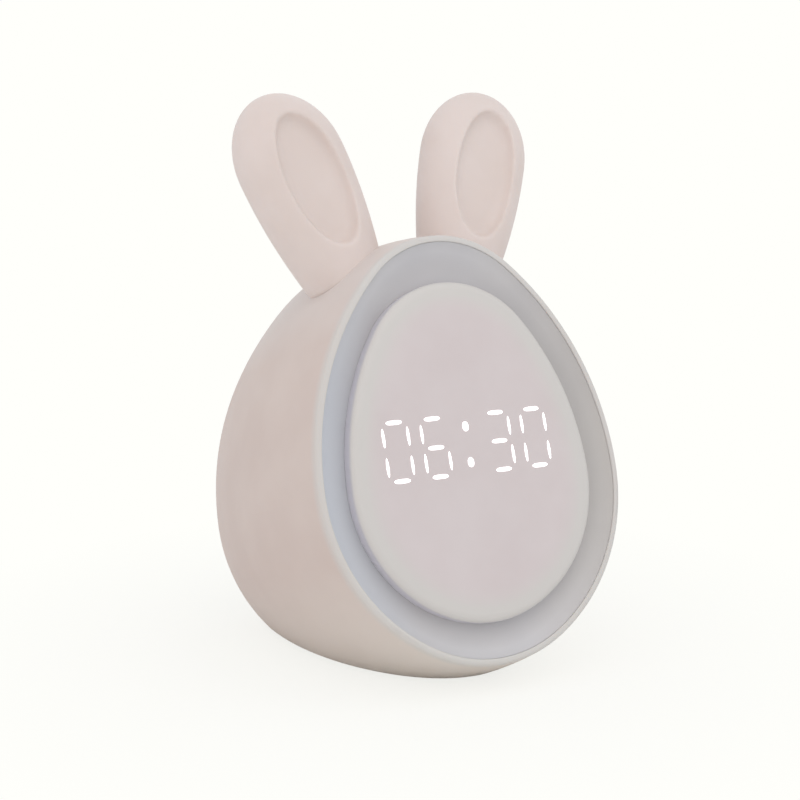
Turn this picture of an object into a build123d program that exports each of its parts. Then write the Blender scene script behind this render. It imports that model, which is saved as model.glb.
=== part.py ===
from build123d import *
from math import acos, asin, atan2, cos, degrees, radians, sin, sqrt
import os

# Bunny-eared night-light alarm clock: an egg-shaped body that leans back on a flat base,
# with a dished light ring and a digit plate in front, two hollow ears on top, and a rear
# cover that carries the main board, buttons, speaker and charging socket.
#
# All sizes are in millimetres. The table is at z = 0. FACE is the plane of the front rim:
# its local x is to the right, its local y (called v) goes up the face, and its normal
# points forwards, so a depth is measured backwards from the rim.

# ---------------------------------------------------------------- driving dimensions
TILT = 18.5             # lean of the whole body, degrees
FACE_Y = -42.0          # where the widest line of the rim sits
FACE_HEIGHT = 57.2
RIM_HALF_WIDTH = 47.3
RIM_TOP = 68.9
RIM_BOTTOM = 51.0
RIM_TOP_RADIUS = 31.2
RIM_BOTTOM_RADIUS = 41.2

WALL = 2.2
BULGE = 3.8             # how far the side wall swells beyond the rim
BULGE_DEPTH = 35.0      # depth at which it is fullest
BACK_RADIUS = 29.0      # rounding between the side and the back
BACK_CENTRE_DEPTH = 72.0
BACK_DEPTH = 98.0       # flat back panel
SEAM_DEPTH = 90.6       # joint between shell and rear cover
SEAM_GROOVE = 0.35      # radius of the fine groove along that joint
CREST_RADIUS = 1.3      # outer and inner rounding of the front rim
CREST_INNER = 0.35
LIP = 1.7               # thickness of the front rim
RING_SEAT = 8.5         # depth at which the light ring rests
FLANGE_BACK = 10.4
FLANGE_REACH = 8.0
CORE = -28.0            # inner limit of the swept part of a body volume

BASE_CUT = 1.0          # height of the underside of the shell
FLOOR_TOP = 3.2
PAD_THICKNESS = 1.5
PAD_INSET = 4.5
PAD_FRONT = 5.0
PAD_BACK = 86.0         # the pad ends in front of the seam

PLATE_HALF_WIDTH = 37.4
PLATE_TOP = 56.2
PLATE_BOTTOM = 38.9
PLATE_TOP_RADIUS = 28.5
PLATE_BOTTOM_RADIUS = 33.6
PLATE_DROP = -0.6       # the plate sits this much above (+) or below (-) the rim's centre
PLATE_FRONT = -1.0      # it stands a little proud of the rim
PLATE_SKIN = 1.7
PLATE_EDGE = 1.9        # rounding of the plate's front edge
PLATE_RIM_BACK = 3.9    # back of the edge that stands over the dished ring
PLATE_BACK = 4.8        # foot of the pedestal behind it
PEDESTAL_INSET = 2.2
PEDESTAL_WALL = 1.8
PEDESTAL_GAP = 0.1

RING_OUTER = LIP + 0.06
RING_TOP = 0.5          # depth of the ring's outer edge
RING_FLOOR = 4.2        # depth of the dish's floor
RING_TURN = 10.6        # inset at which the dish has become flat
RING_THICKNESS = 1.6
RING_REACH = 18.0       # inset to which the ring is carried before its opening is cut
RING_OVERLAP = 4.6      # how far the ring reaches in under the plate

DISPLAY_X = -1.0        # middle of the display
DIGIT_CENTRES = (-21.9, -10.1, 10.1, 21.9)      # from that middle
DIGIT_ROW = 9.6         # height of the display's centre line on the face
DIGIT_HEIGHT = 16.0     # from bottom bar to top bar
DIGIT_WIDTH = 7.6       # from left bars to right bars
BAR_ACROSS = (5.1, 1.15)
BAR_UPRIGHT = (5.4, 0.9)
COLON_SPACING = 10.0
COLON_DOT = (0.95, 1.35)
SHOWN = ("0", "6", "3", "0")

BOARD_THICKNESS = 1.6
DISPLAY_BOARD_DEPTH = 13.0
DISPLAY_BOARD_INSET = 3.0
MAIN_BOARD_DEPTH = 86.9
NIGHT_LIGHTS = 16       # light-emitting chips behind the ring
NIGHT_LIGHT_INSET = 11.5
NIGHT_LIGHT_SIZE = (2.8, 3.5, 0.8)

EAR_SPREAD = 20.8       # half the distance between the ears' feet
EAR_FOOT = 69.7         # height of an ear's foot on the face
EAR_DEPTH = 23.4        # depth of the ears' middle plane
EAR_SPLAY = 18.4        # degrees outwards from the vertical
EAR_HALF_WIDTH = 16.7   # at the widest, EAR_WIDEST above the foot
EAR_FOOT_HALF_WIDTH = 13.4
EAR_HALF_THICKNESS = 12.2
EAR_WIDEST = 29.0
EAR_LENGTH = 50.4
EAR_WALL = 2.0
EAR_ROOT = -9.0         # the ear's surface is drawn down to here, inside the body
EAR_SECTIONS = (EAR_ROOT, 1.0, 11.0, 21.0, EAR_WIDEST)
EAR_ZONE = (5.0, 60.0)  # depths of the part of the body that the ears stand on
DISH_HALF_WIDTH = 9.2
DISH_HALF_LENGTH = 20.0
DISH_CENTRE = 21.6      # along the ear
DISH_FLOOR = 7.2        # in front of the ear's middle plane
DISH_ROUNDING = 3.2     # between the dish's wall and its floor
PEG_BACK = 6.0          # the ear's peg stands behind the middle plane
PEG_RADIUS = 3.4
PEG_TOP = 6.0           # above the ear's foot
PEG_SOCKET_TOP = 5.0
PEG_GAP = 0.05

SCREW_RADIUS = 1.1
SCREW_PILOT = 1.13
SCREW_CLEARANCE = 1.35
HEAD_RADIUS = 2.2
HEAD_HEIGHT = 1.5
HEAD_ROUNDING = 0.5
CROSS_SLOT = (2.4, 0.5, 0.8)    # length, width and depth of the drive slot
COVER_SCREW_LENGTH = 8.0
BOARD_SCREW_LENGTH = 6.0
DISPLAY_SCREW_LENGTH = 5.0
EAR_SCREW_LENGTH = 8.0

COVER_SCREWS = ((20.5, 25.0), (24.4, -12.0))    # right-hand pair, mirrored
COVER_SCREW_SEAT = 94.0
BOARD_SCREWS = ((17.0, 6.5), (17.0, -22.5))
DISPLAY_SCREW_ANGLES = (35, 145, 215, 325)
DISPLAY_BOSS_INSET = 5.6
DISPLAY_BOSS_RADIUS = 2.4
BUTTONS = {"mode_button": -16.5, "hour_button": -5.5, "minute_button": 5.5, "light_button": 16.5}
BUTTON_ROW = -4.0
BUTTON_RADIUS = 4.0
BUTTON_TRAVEL = 0.5
BUTTON_DISH = (14.8, 0.35)      # radius and depth of the finger dish
SOCKET_PLACE = (7.5, -17.0)
SOCKET_BACK = 97.6
SWITCH_PLACE = (-8.0, -17.0)
SWITCH_TRAVEL = 2.0
KNOB_BACK = 98.7
KNOB_GROOVE = (0.45, 0.35)      # width and depth of its three grip grooves
KNOB_GROOVE_STEP = 1.05
SPEAKER_PLACE = (0.0, 25.0)
SPEAKER_RADIUS = 14.0

os.makedirs("parts", exist_ok=True)

FACE = Plane(
    origin=(0, FACE_Y, FACE_HEIGHT),
    x_dir=(1, 0, 0),
    z_dir=(0, -cos(radians(TILT)), sin(radians(TILT))),
)
FORWARDS = Axis(FACE.origin, FACE.z_dir)


def at_depth(depth):
    """Plane parallel to the face, that far behind the rim. Its normal points forwards."""
    return FACE.offset(-depth)


def save(builder, name):
    """Labels a finished piece and writes it as one file."""
    builder.part.label = name
    export_step(builder.part, f"parts/{name}.step")


def both_sides(points):
    """The given points and their mirror images across the middle of the clock."""
    return [(side * x, v) for x, v in points for side in (1, -1)]


# ---------------------------------------------------------------- egg outlines
class Egg:
    """Outline of six tangent arcs, widest at the height `rise`."""

    def __init__(self, half_width, top, bottom, top_radius, bottom_radius, rise=0.0):
        up = top - top_radius
        down = bottom - bottom_radius
        upper = (half_width**2 + up**2 - top_radius**2) / (2 * (half_width - top_radius))
        lower = (half_width**2 + down**2 - bottom_radius**2) / (2 * (half_width - bottom_radius))
        up_angle = degrees(atan2(up, upper - half_width))
        low_angle = degrees(atan2(down, lower - half_width))
        # centre x, centre v, radius, start angle and sweep of each arc
        self.arcs = (
            (half_width - upper, rise, upper, 0, up_angle),
            (0, rise + up, top_radius, up_angle, 180 - 2 * up_angle),
            (upper - half_width, rise, upper, 180 - up_angle, up_angle),
            (lower - half_width, rise, lower, 180, low_angle),
            (0, rise - down, bottom_radius, 180 + low_angle, 180 - 2 * low_angle),
            (half_width - lower, rise, lower, 360 - low_angle, low_angle),
        )

    def point(self, angle, grow=0.0):
        """Point of the grown outline where its normal has this angle."""
        for x, v, radius, start, sweep in self.arcs:
            if start <= angle <= start + sweep:
                turn = radians(angle)
                return (x + (radius + grow) * cos(turn), v + (radius + grow) * sin(turn))
        raise ValueError("the angle is between 0 and 360")

    def draw(self, grow=0.0, mode=Mode.ADD):
        """Adds the face inside the grown outline to the current sketch."""
        with BuildLine() as outline:
            for x, v, radius, start, sweep in self.arcs:
                CenterArc((x, v), radius + grow, start, sweep)
        make_face(outline.edges(), mode=mode)


RIM = Egg(RIM_HALF_WIDTH, RIM_TOP, RIM_BOTTOM, RIM_TOP_RADIUS, RIM_BOTTOM_RADIUS)
PLATE = Egg(
    PLATE_HALF_WIDTH, PLATE_TOP, PLATE_BOTTOM, PLATE_TOP_RADIUS, PLATE_BOTTOM_RADIUS, PLATE_DROP
)


def carry_round(egg, section):
    """Part made by carrying a section round the whole outline of an egg.

    section(plane) draws it on a plane whose x is outwards from the outline and whose y
    is forwards, so a depth is negative there.
    """
    with BuildPart() as ring:
        for x, v, radius, start, sweep in egg.arcs:
            turn = radians(start)
            centre = FACE.from_local_coords(Vector(x, v, 0))
            foot = FACE.from_local_coords(Vector(x + radius * cos(turn), v + radius * sin(turn), 0))
            outwards = (foot - centre).normalized()
            plane = Plane(origin=foot, x_dir=outwards, z_dir=outwards.cross(FACE.z_dir))
            revolve(section(plane), axis=Axis(centre, FACE.z_dir), revolution_arc=sweep)
    return ring.part


# ---------------------------------------------------------------- the body's form
# In a section the side wall is one long arc, tangent to the arc that turns it to the back.
SIDE_RADIUS = (BULGE_DEPTH**2 + BULGE**2) / (2 * BULGE)
SIDE_X = BULGE - SIDE_RADIUS
BACK_X = SIDE_X + sqrt(
    (SIDE_RADIUS - BACK_RADIUS) ** 2 - (BACK_CENTRE_DEPTH - BULGE_DEPTH) ** 2
)
TANGENT_ANGLE = asin((BACK_CENTRE_DEPTH - BULGE_DEPTH) / (SIDE_RADIUS - BACK_RADIUS))


def side_offset(depth, grow=0.0):
    """How far the body's surface is outside the rim's outline at this depth."""
    turning = BACK_CENTRE_DEPTH + (BACK_RADIUS + grow) * sin(TANGENT_ANGLE)
    if depth < turning:
        return SIDE_X + sqrt((SIDE_RADIUS + grow) ** 2 - (depth - BULGE_DEPTH) ** 2)
    return BACK_X + sqrt((BACK_RADIUS + grow) ** 2 - (depth - BACK_CENTRE_DEPTH) ** 2)


def body_section(plane, grow, front, back, crest=0.0):
    """Half section of the body between two depths; crest rounds its front corner."""
    turning = BACK_CENTRE_DEPTH + (BACK_RADIUS + grow) * sin(TANGENT_ANGLE)
    stops = [front, (front + min(back, turning)) / 2, min(back, turning)]
    if front >= turning:
        stops = [front]
    with BuildSketch(plane) as section:
        with BuildLine():
            Line((CORE, -front), (side_offset(front, grow), -front))
            if len(stops) == 3:
                ThreePointArc(*[(side_offset(d, grow), -d) for d in stops])
            if back > turning:
                start = max(front, turning)
                low = asin((start - BACK_CENTRE_DEPTH) / (BACK_RADIUS + grow))
                high = asin((back - BACK_CENTRE_DEPTH) / (BACK_RADIUS + grow))
                middle = BACK_CENTRE_DEPTH + (BACK_RADIUS + grow) * sin((low + high) / 2)
                ThreePointArc(*[(side_offset(d, grow), -d) for d in (start, middle, back)])
            Polyline(
                (side_offset(back, grow), -back), (CORE, -back), (CORE, -front)
            )
        make_face()
        if crest:
            corner = section.vertices().sort_by_distance((side_offset(front, grow), -front))[0]
            fillet(corner, crest)
    return section.sketch


def body_volume(grow, front, back, crest=0.0):
    """Solid egg body between two depths, its surface moved outwards by grow."""
    swept = carry_round(RIM, lambda plane: body_section(plane, grow, front, back, crest))
    with BuildPart() as volume:
        add(swept)
        with BuildSketch(at_depth(front)):
            RIM.draw(CORE + 0.5)
        extrude(amount=front - back)
    return volume.part


def above(part, height):
    """The part of a solid that is above a height."""
    with BuildPart() as kept:
        add(part)
        split(bisect_by=Plane.XY.offset(height), keep=Keep.TOP)
    return kept.part


BODY = body_volume(0.0, 0.0, BACK_DEPTH, CREST_RADIUS)
CAVITY = above(body_volume(-WALL, FLANGE_BACK, BACK_DEPTH - WALL), FLOOR_TOP)


def groove_section(plane):
    """Small round centred on the body's surface at the seam."""
    with BuildSketch(plane) as section:
        with Locations((side_offset(SEAM_DEPTH), -SEAM_DEPTH)):
            Circle(SEAM_GROOVE)
    return section.sketch


def make_casing():
    """Shell and rear cover in one, before they are parted at the seam."""
    groove = carry_round(RIM, groove_section)
    with BuildPart() as casing:
        add(above(BODY, BASE_CUT))
        add(CAVITY, mode=Mode.SUBTRACT)
        add(groove, mode=Mode.SUBTRACT)
    return casing.part


# ---------------------------------------------------------------- ears
def ear_plane(side, along=0.0, forward=0.0):
    """Plane across an ear, its x across the ear and its normal up the ear's axis."""
    splay = radians(EAR_SPLAY)
    foot = FACE.from_local_coords(Vector(side * EAR_SPREAD, EAR_FOOT, -EAR_DEPTH + forward))
    top = FACE.from_local_coords(
        Vector(side * (EAR_SPREAD + sin(splay)), EAR_FOOT + cos(splay), -EAR_DEPTH + forward)
    )
    up = (top - foot).normalized()
    return Plane(origin=foot, x_dir=up.cross(FACE.z_dir), z_dir=up).offset(along)


def ear_half_width(along):
    """Half width of the ear's lower part, which narrows towards its foot."""
    narrowing = (EAR_HALF_WIDTH - EAR_FOOT_HALF_WIDTH) / EAR_WIDEST**2
    return EAR_HALF_WIDTH - narrowing * (EAR_WIDEST - along) ** 2


def half_ellipsoid(half_x, half_y, height):
    """Upper half of an ellipsoid, which stands on the origin."""
    with BuildPart() as dome:
        Sphere(height, arc_size1=0, align=(Align.CENTER, Align.CENTER, Align.MIN))
        scale(by=(half_x / height, half_y / height, 1))
    return dome.part


def ear_volume(side, inset=0.0):
    """Solid form of an ear, its surface moved inwards by inset."""
    cap = half_ellipsoid(
        EAR_HALF_WIDTH - inset,
        EAR_HALF_THICKNESS - inset,
        EAR_LENGTH - EAR_WIDEST - inset,
    )
    with BuildPart() as volume:
        for along in EAR_SECTIONS:
            with BuildSketch(ear_plane(side, along)):
                Ellipse(ear_half_width(along) - inset, EAR_HALF_THICKNESS - inset)
        loft()
        with Locations(ear_plane(side, EAR_WIDEST).location):
            add(cap)
    return volume.part


EAR_SEAT = body_volume(0.0, *EAR_ZONE)
EAR_FLOOR = body_volume(EAR_WALL, *EAR_ZONE)


def dish_volume(side, grow=0.0):
    """Oval pocket with a rounded floor, open to the front of an ear."""
    middle = ear_plane(side, DISH_CENTRE, DISH_FLOOR - grow)
    floor = Plane(origin=middle.origin, x_dir=middle.x_dir, z_dir=FACE.z_dir)
    with BuildPart() as pocket:
        with BuildSketch(floor):
            Ellipse(DISH_HALF_WIDTH + grow, DISH_HALF_LENGTH + grow)
        extrude(amount=EAR_HALF_THICKNESS)
        fillet(pocket.edges().sort_by(FORWARDS)[0], DISH_ROUNDING + grow)
    return pocket.part


def make_ear(side):
    """Hollow ear with a dished front, before its two halves are parted."""
    form = ear_volume(side)
    dish = dish_volume(side)
    with BuildPart() as bowl_wall:
        add(dish_volume(side, EAR_WALL))
        add(form, mode=Mode.INTERSECT)
    with BuildPart() as hollow:
        add(ear_volume(side, EAR_WALL))
        add(EAR_FLOOR, mode=Mode.SUBTRACT)
    with BuildPart() as ear:
        add(form)
        add(hollow.part, mode=Mode.SUBTRACT)
        add(bowl_wall.part)
        add(dish, mode=Mode.SUBTRACT)
        add(EAR_SEAT, mode=Mode.SUBTRACT)
    return ear.part


def make_ears():
    """Front and back half of each ear; the back half has the peg that holds it."""
    ear = make_ear(-1)
    with BuildPart() as front:
        add(ear)
        split(bisect_by=at_depth(EAR_DEPTH), keep=Keep.TOP)
    with BuildPart() as back:
        add(ear)
        split(bisect_by=at_depth(EAR_DEPTH), keep=Keep.BOTTOM)
        with BuildSketch(ear_plane(-1, EAR_ROOT, -PEG_BACK)):
            Circle(PEG_RADIUS)
        extrude(amount=PEG_TOP - EAR_ROOT)
        with BuildSketch(ear_plane(-1, EAR_ROOT, -PEG_BACK)):
            Circle(SCREW_PILOT)
        extrude(amount=EAR_SCREW_LENGTH, mode=Mode.SUBTRACT)
    for half, name in ((front, "front"), (back, "back")):
        save(half, f"left_ear_{name}")
        with BuildPart() as other:
            mirror(half.part, about=Plane.YZ)
        save(other, f"right_ear_{name}")


# ---------------------------------------------------------------- screws
def make_screw(plane, length):
    """Pan-head screw whose head rests on the plane and stands on its normal's side."""
    along = Axis(plane.origin, plane.z_dir)
    with BuildPart(plane) as screw:
        Cylinder(HEAD_RADIUS, HEAD_HEIGHT, align=(Align.CENTER, Align.CENTER, Align.MIN))
        fillet(screw.edges().filter_by(GeomType.CIRCLE).sort_by(along)[-1], HEAD_ROUNDING)
        Cylinder(SCREW_RADIUS, length, align=(Align.CENTER, Align.CENTER, Align.MAX))
        slot_length, width, depth = CROSS_SLOT
        with Locations((0, 0, HEAD_HEIGHT)):
            top = (Align.CENTER, Align.CENTER, Align.MAX)
            Box(slot_length, width, depth, align=top, mode=Mode.SUBTRACT)
            Box(width, slot_length, depth, align=top, mode=Mode.SUBTRACT)
    return screw.part


def make_screws(name, planes, length):
    """One node that holds all the screws of one kind."""
    screws = [make_screw(plane, length) for plane in planes]
    with BuildPart() as group:
        for screw in screws:
            add(screw)
    save(group, name)


def facing_back(x, v, depth):
    """Plane at a point of the face frame whose normal points backwards."""
    origin = FACE.from_local_coords(Vector(x, v, -depth))
    return Plane(origin=origin, x_dir=(1, 0, 0), z_dir=-FACE.z_dir)


def facing_front(x, v, depth):
    """Plane at a point of the face frame whose normal points forwards."""
    origin = FACE.from_local_coords(Vector(x, v, -depth))
    return Plane(origin=origin, x_dir=(1, 0, 0), z_dir=FACE.z_dir)


# ---------------------------------------------------------------- main shell
BOSS_RADIUS = 3.2
BOSS_FRONT = 70.0
RIB_BACK = 85.5
RIB_THICKNESS = 2.0
RIB_LENGTH = 30.0       # from the boss's axis, before it is trimmed to the wall
ROOT = 0.5              # how far bosses and posts are sunk into the wall they stand on
PAD_GAP = 0.1
SIDE_CENTRES = {True: RIM.arcs[0][0], False: RIM.arcs[5][0]}    # above and below the widest line
EAR_BOSS_RADIUS = 6.0
DISPLAY_SCREWS = [RIM.point(angle, -DISPLAY_BOSS_INSET) for angle in DISPLAY_SCREW_ANGLES]


def make_inner_supports():
    """Ribbed bosses for the rear cover's screws and sockets for the ears' pegs."""
    limit = body_volume(-WALL / 2, EAR_ZONE[0], SEAM_DEPTH)
    with BuildPart() as supports:
        for x, v in both_sides(COVER_SCREWS):
            side = 1 if x > 0 else -1
            angle = degrees(atan2(v, x - side * SIDE_CENTRES[v > 0]))
            with BuildSketch(at_depth(BOSS_FRONT)):
                with Locations((x, v)):
                    Circle(BOSS_RADIUS)
            extrude(amount=BOSS_FRONT - SEAM_DEPTH)
            with BuildSketch(at_depth(BOSS_FRONT)):
                with Locations(Location((x, v, 0), (0, 0, angle))):
                    Rectangle(RIB_LENGTH, RIB_THICKNESS, align=(Align.MIN, Align.CENTER))
            extrude(amount=BOSS_FRONT - RIB_BACK)
        for side in (-1, 1):
            with BuildSketch(ear_plane(side, EAR_ROOT, -PEG_BACK)):
                Circle(EAR_BOSS_RADIUS)
            extrude(amount=PEG_SOCKET_TOP - EAR_ROOT)
        add(limit, mode=Mode.INTERSECT)
    return supports.part


def make_pad_volume(inset):
    """Space of the anti-slip pad, which follows the outline of the flat base."""
    with BuildPart() as space:
        add(body_volume(-inset, PAD_FRONT, PAD_BACK))
        with BuildSketch(Plane.XY):
            Rectangle(4 * RIM_HALF_WIDTH, 4 * RIM_HALF_WIDTH)
        extrude(amount=PAD_THICKNESS, mode=Mode.INTERSECT)
    return space.part


def make_main_shell(casing):
    """Side wall with its rounded rim, the seat of the light ring and the flat floor."""
    supports = make_inner_supports()
    pad_recess = make_pad_volume(PAD_INSET - PAD_GAP)
    with BuildPart() as shell:
        add(casing)
        split(bisect_by=at_depth(SEAM_DEPTH), keep=Keep.TOP)
        add(supports)
        with BuildSketch(at_depth(0)):
            RIM.draw(-LIP)
        extrude(amount=-RING_SEAT, mode=Mode.SUBTRACT)
        rim_face = shell.faces().sort_by(FORWARDS)[-1]
        fillet(rim_face.inner_wires()[0].edges(), CREST_INNER)
        with BuildSketch(at_depth(RING_SEAT)):
            RIM.draw(-FLANGE_REACH)
        extrude(amount=RING_SEAT - FLANGE_BACK, mode=Mode.SUBTRACT)
        with BuildSketch(at_depth(FLANGE_BACK)):
            with Locations(DISPLAY_SCREWS):
                Circle(DISPLAY_BOSS_RADIUS)
        extrude(amount=FLANGE_BACK - DISPLAY_BOARD_DEPTH)
        with BuildSketch(at_depth(DISPLAY_BOARD_DEPTH)):
            with Locations(DISPLAY_SCREWS):
                Circle(SCREW_PILOT)
        extrude(amount=DISPLAY_BOARD_DEPTH - RING_SEAT - ROOT, mode=Mode.SUBTRACT)
        with BuildSketch(at_depth(SEAM_DEPTH)):
            with Locations(both_sides(COVER_SCREWS)):
                Circle(SCREW_PILOT)
        extrude(amount=COVER_SCREW_LENGTH, mode=Mode.SUBTRACT)
        for side in (-1, 1):
            with BuildSketch(ear_plane(side, EAR_ROOT, -PEG_BACK)):
                Circle(PEG_RADIUS + PEG_GAP)
            extrude(amount=PEG_SOCKET_TOP - EAR_ROOT, mode=Mode.SUBTRACT)
        add(pad_recess, mode=Mode.SUBTRACT)
    save(shell, "main_shell")
    with BuildPart() as pad:
        add(make_pad_volume(PAD_INSET))
    save(pad, "base_pad")


# ---------------------------------------------------------------- front: ring and plate
# The dish is one arc that starts steeply at the rim and ends level on the floor.
DISH_WIDTH = RING_TURN - RING_OUTER
DISH_DROP = RING_FLOOR - RING_TOP
DISH_RADIUS = (DISH_WIDTH**2 + DISH_DROP**2) / (2 * DISH_DROP)
RING_FOOT = RING_OUTER + RING_THICKNESS


def dish_point(angle, thickness=0.0):
    """Point of the dish in a section, the angle measured down from level."""
    reach = DISH_RADIUS + thickness
    turn = radians(angle)
    return (reach * cos(turn) - RING_TURN, DISH_RADIUS - RING_FLOOR - reach * sin(turn))


def ring_section(plane):
    """Dished channel section of the light ring, which ends well in under the plate."""
    steep = degrees(asin((DISH_RADIUS - DISH_DROP) / DISH_RADIUS))
    foot = degrees(acos((RING_TURN - RING_FOOT) / (DISH_RADIUS + RING_THICKNESS)))
    floor = -RING_FLOOR
    back = floor - RING_THICKNESS
    with BuildSketch(plane) as section:
        with BuildLine():
            ThreePointArc(*[dish_point(a) for a in (steep, (steep + 90) / 2, 90)])
            Polyline(
                (-RING_TURN, floor), (-RING_REACH, floor), (-RING_REACH, back), (-RING_TURN, back)
            )
            ThreePointArc(*[dish_point(a, RING_THICKNESS) for a in (90, (foot + 90) / 2, foot)])
            Polyline(
                dish_point(foot, RING_THICKNESS),
                (-RING_FOOT, -RING_SEAT),
                (-RING_OUTER, -RING_SEAT),
                dish_point(steep),
            )
        make_face()
    return section.sketch


def make_front():
    """Light ring and the digit plate, whose pedestal sits in a recess of the ring."""
    with BuildPart() as ring:
        add(carry_round(RIM, ring_section))
        with BuildSketch(at_depth(0)):
            PLATE.draw(PEDESTAL_GAP - PEDESTAL_INSET)
        extrude(amount=-PLATE_BACK, mode=Mode.SUBTRACT)
        with BuildSketch(at_depth(0)):
            PLATE.draw(-RING_OVERLAP)
        extrude(amount=-RING_FLOOR - 2 * RING_THICKNESS, mode=Mode.SUBTRACT)
    save(ring, "light_ring")

    with BuildPart() as plate:
        with BuildSketch(at_depth(PLATE_FRONT)):
            PLATE.draw()
        extrude(amount=PLATE_FRONT - PLATE_RIM_BACK)
        fillet(plate.faces().sort_by(FORWARDS)[-1].edges(), PLATE_EDGE)
        with BuildSketch(at_depth(PLATE_RIM_BACK)):
            PLATE.draw(-PEDESTAL_INSET)
        extrude(amount=PLATE_RIM_BACK - PLATE_BACK)
        with BuildSketch(at_depth(PLATE_FRONT + PLATE_SKIN)):
            PLATE.draw(-PEDESTAL_INSET - PEDESTAL_WALL)
        extrude(amount=PLATE_FRONT + PLATE_SKIN - PLATE_BACK, mode=Mode.SUBTRACT)
        with BuildSketch(at_depth(PIPE_FRONT - PIPE_GAP)):
            for segment in ALL_SEGMENTS:
                draw_segment(segment, PIPE_GAP)
        extrude(amount=PIPE_FRONT - PIPE_GAP - PLATE_FRONT - PLATE_SKIN, mode=Mode.SUBTRACT)
    save(plate, "display_plate")


# ---------------------------------------------------------------- seven-segment display
PIPE_FRONT = PLATE_FRONT + 0.65
PIPE_BACK = 8.2
REFLECTOR_FRONT = PLATE_FRONT + PLATE_SKIN + 0.05
BOX_FRONT = 8.25        # the light box behind each bar starts here
REFLECTOR_SIZE = (54.6, 22.0)
REFLECTOR_CORNER = 3.0
LED_SIZE = (1.6, 0.8, 0.6)
PIPE_GAP = 0.06         # running room round each light pipe
BOX_ACROSS = (4.6, 2.0)
BOX_UPRIGHT = (1.9, 5.2)
BOX_DOT = (3.2, 3.8)
LIT_BARS = {"0": "abcdef", "3": "abcdg", "6": "acdefg"}
BAR_PLACES = {
    "a": (0, 0.5),
    "b": (0.5, 0.25),
    "c": (0.5, -0.25),
    "d": (0, -0.5),
    "e": (-0.5, -0.25),
    "f": (-0.5, 0.25),
    "g": (0, 0),
}


def list_segments():
    """Every bar and dot as (kind, x, v, lit)."""
    segments = []
    for centre, shown in zip(DIGIT_CENTRES, SHOWN):
        for bar, (across, up) in BAR_PLACES.items():
            kind = "across" if across == 0 else "upright"
            x = DISPLAY_X + centre + across * DIGIT_WIDTH
            place = (x, DIGIT_ROW + up * DIGIT_HEIGHT)
            segments.append((kind, *place, bar in LIT_BARS[shown]))
    for up in (-0.5, 0.5):
        segments.append(("dot", DISPLAY_X, DIGIT_ROW + up * COLON_SPACING, True))
    return segments


ALL_SEGMENTS = list_segments()


def draw_segment(segment, grow=0.0):
    """Outline of one bar or dot in the current sketch."""
    kind, x, v, _ = segment
    with Locations((x, v)):
        if kind == "across":
            SlotOverall(BAR_ACROSS[0] + 2 * grow, BAR_ACROSS[1] + 2 * grow)
        elif kind == "upright":
            SlotOverall(BAR_UPRIGHT[0] + 2 * grow, BAR_UPRIGHT[1] + 2 * grow, rotation=90)
        else:
            Ellipse(COLON_DOT[0] + grow, COLON_DOT[1] + grow)


def draw_light_box(segment):
    """Outline of the wider space round the chip behind a bar or dot."""
    kind, x, v, _ = segment
    with Locations((x, v)):
        if kind == "across":
            Rectangle(*BOX_ACROSS)
        elif kind == "upright":
            Rectangle(*BOX_UPRIGHT)
        else:
            Rectangle(*BOX_DOT)


def make_display():
    """Light pipes, reflector, board with its light-emitting chips, and the board's screws."""
    for name, lit in (("lit_segments", True), ("unlit_segments", False)):
        with BuildPart() as pipes:
            with BuildSketch(at_depth(PIPE_FRONT)):
                for segment in ALL_SEGMENTS:
                    if segment[3] == lit:
                        draw_segment(segment)
            extrude(amount=PIPE_FRONT - PIPE_BACK)
        save(pipes, name)

    with BuildPart() as reflector:
        with BuildSketch(at_depth(REFLECTOR_FRONT)):
            with Locations((DISPLAY_X, DIGIT_ROW)):
                RectangleRounded(*REFLECTOR_SIZE, REFLECTOR_CORNER)
        extrude(amount=REFLECTOR_FRONT - DISPLAY_BOARD_DEPTH)
        with BuildSketch(at_depth(REFLECTOR_FRONT)):
            for segment in ALL_SEGMENTS:
                draw_segment(segment, PIPE_GAP)
        extrude(amount=REFLECTOR_FRONT - BOX_FRONT - PIPE_GAP, mode=Mode.SUBTRACT)
        with BuildSketch(at_depth(BOX_FRONT)):
            for segment in ALL_SEGMENTS:
                draw_light_box(segment)
        extrude(amount=BOX_FRONT - DISPLAY_BOARD_DEPTH, mode=Mode.SUBTRACT)
    save(reflector, "segment_reflector")

    with BuildPart() as board:
        with BuildSketch(at_depth(DISPLAY_BOARD_DEPTH)):
            RIM.draw(-DISPLAY_BOARD_INSET)
            with Locations(DISPLAY_SCREWS):
                Circle(SCREW_CLEARANCE, mode=Mode.SUBTRACT)
        extrude(amount=-BOARD_THICKNESS)
    save(board, "display_board")

    length, width, height = LED_SIZE
    with BuildPart() as chips:
        with BuildSketch(at_depth(DISPLAY_BOARD_DEPTH)):
            for kind, x, v, _ in ALL_SEGMENTS:
                with Locations((x, v)):
                    Rectangle(length, width, rotation=90 if kind == "upright" else 0)
        extrude(amount=height)
    save(chips, "segment_leds")

    length, width, height = NIGHT_LIGHT_SIZE
    with BuildPart() as lamps:
        with BuildSketch(at_depth(DISPLAY_BOARD_DEPTH)):
            for number in range(NIGHT_LIGHTS):
                angle = 360 / NIGHT_LIGHTS * (number + 0.5)
                with Locations(RIM.point(angle, -NIGHT_LIGHT_INSET)):
                    Rectangle(length, width, rotation=angle)
        extrude(amount=height)
    save(lamps, "night_light_leds")

    back = DISPLAY_BOARD_DEPTH + BOARD_THICKNESS
    planes = [facing_back(x, v, back) for x, v in DISPLAY_SCREWS]
    make_screws("display_board_screws", planes, DISPLAY_SCREW_LENGTH)


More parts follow.
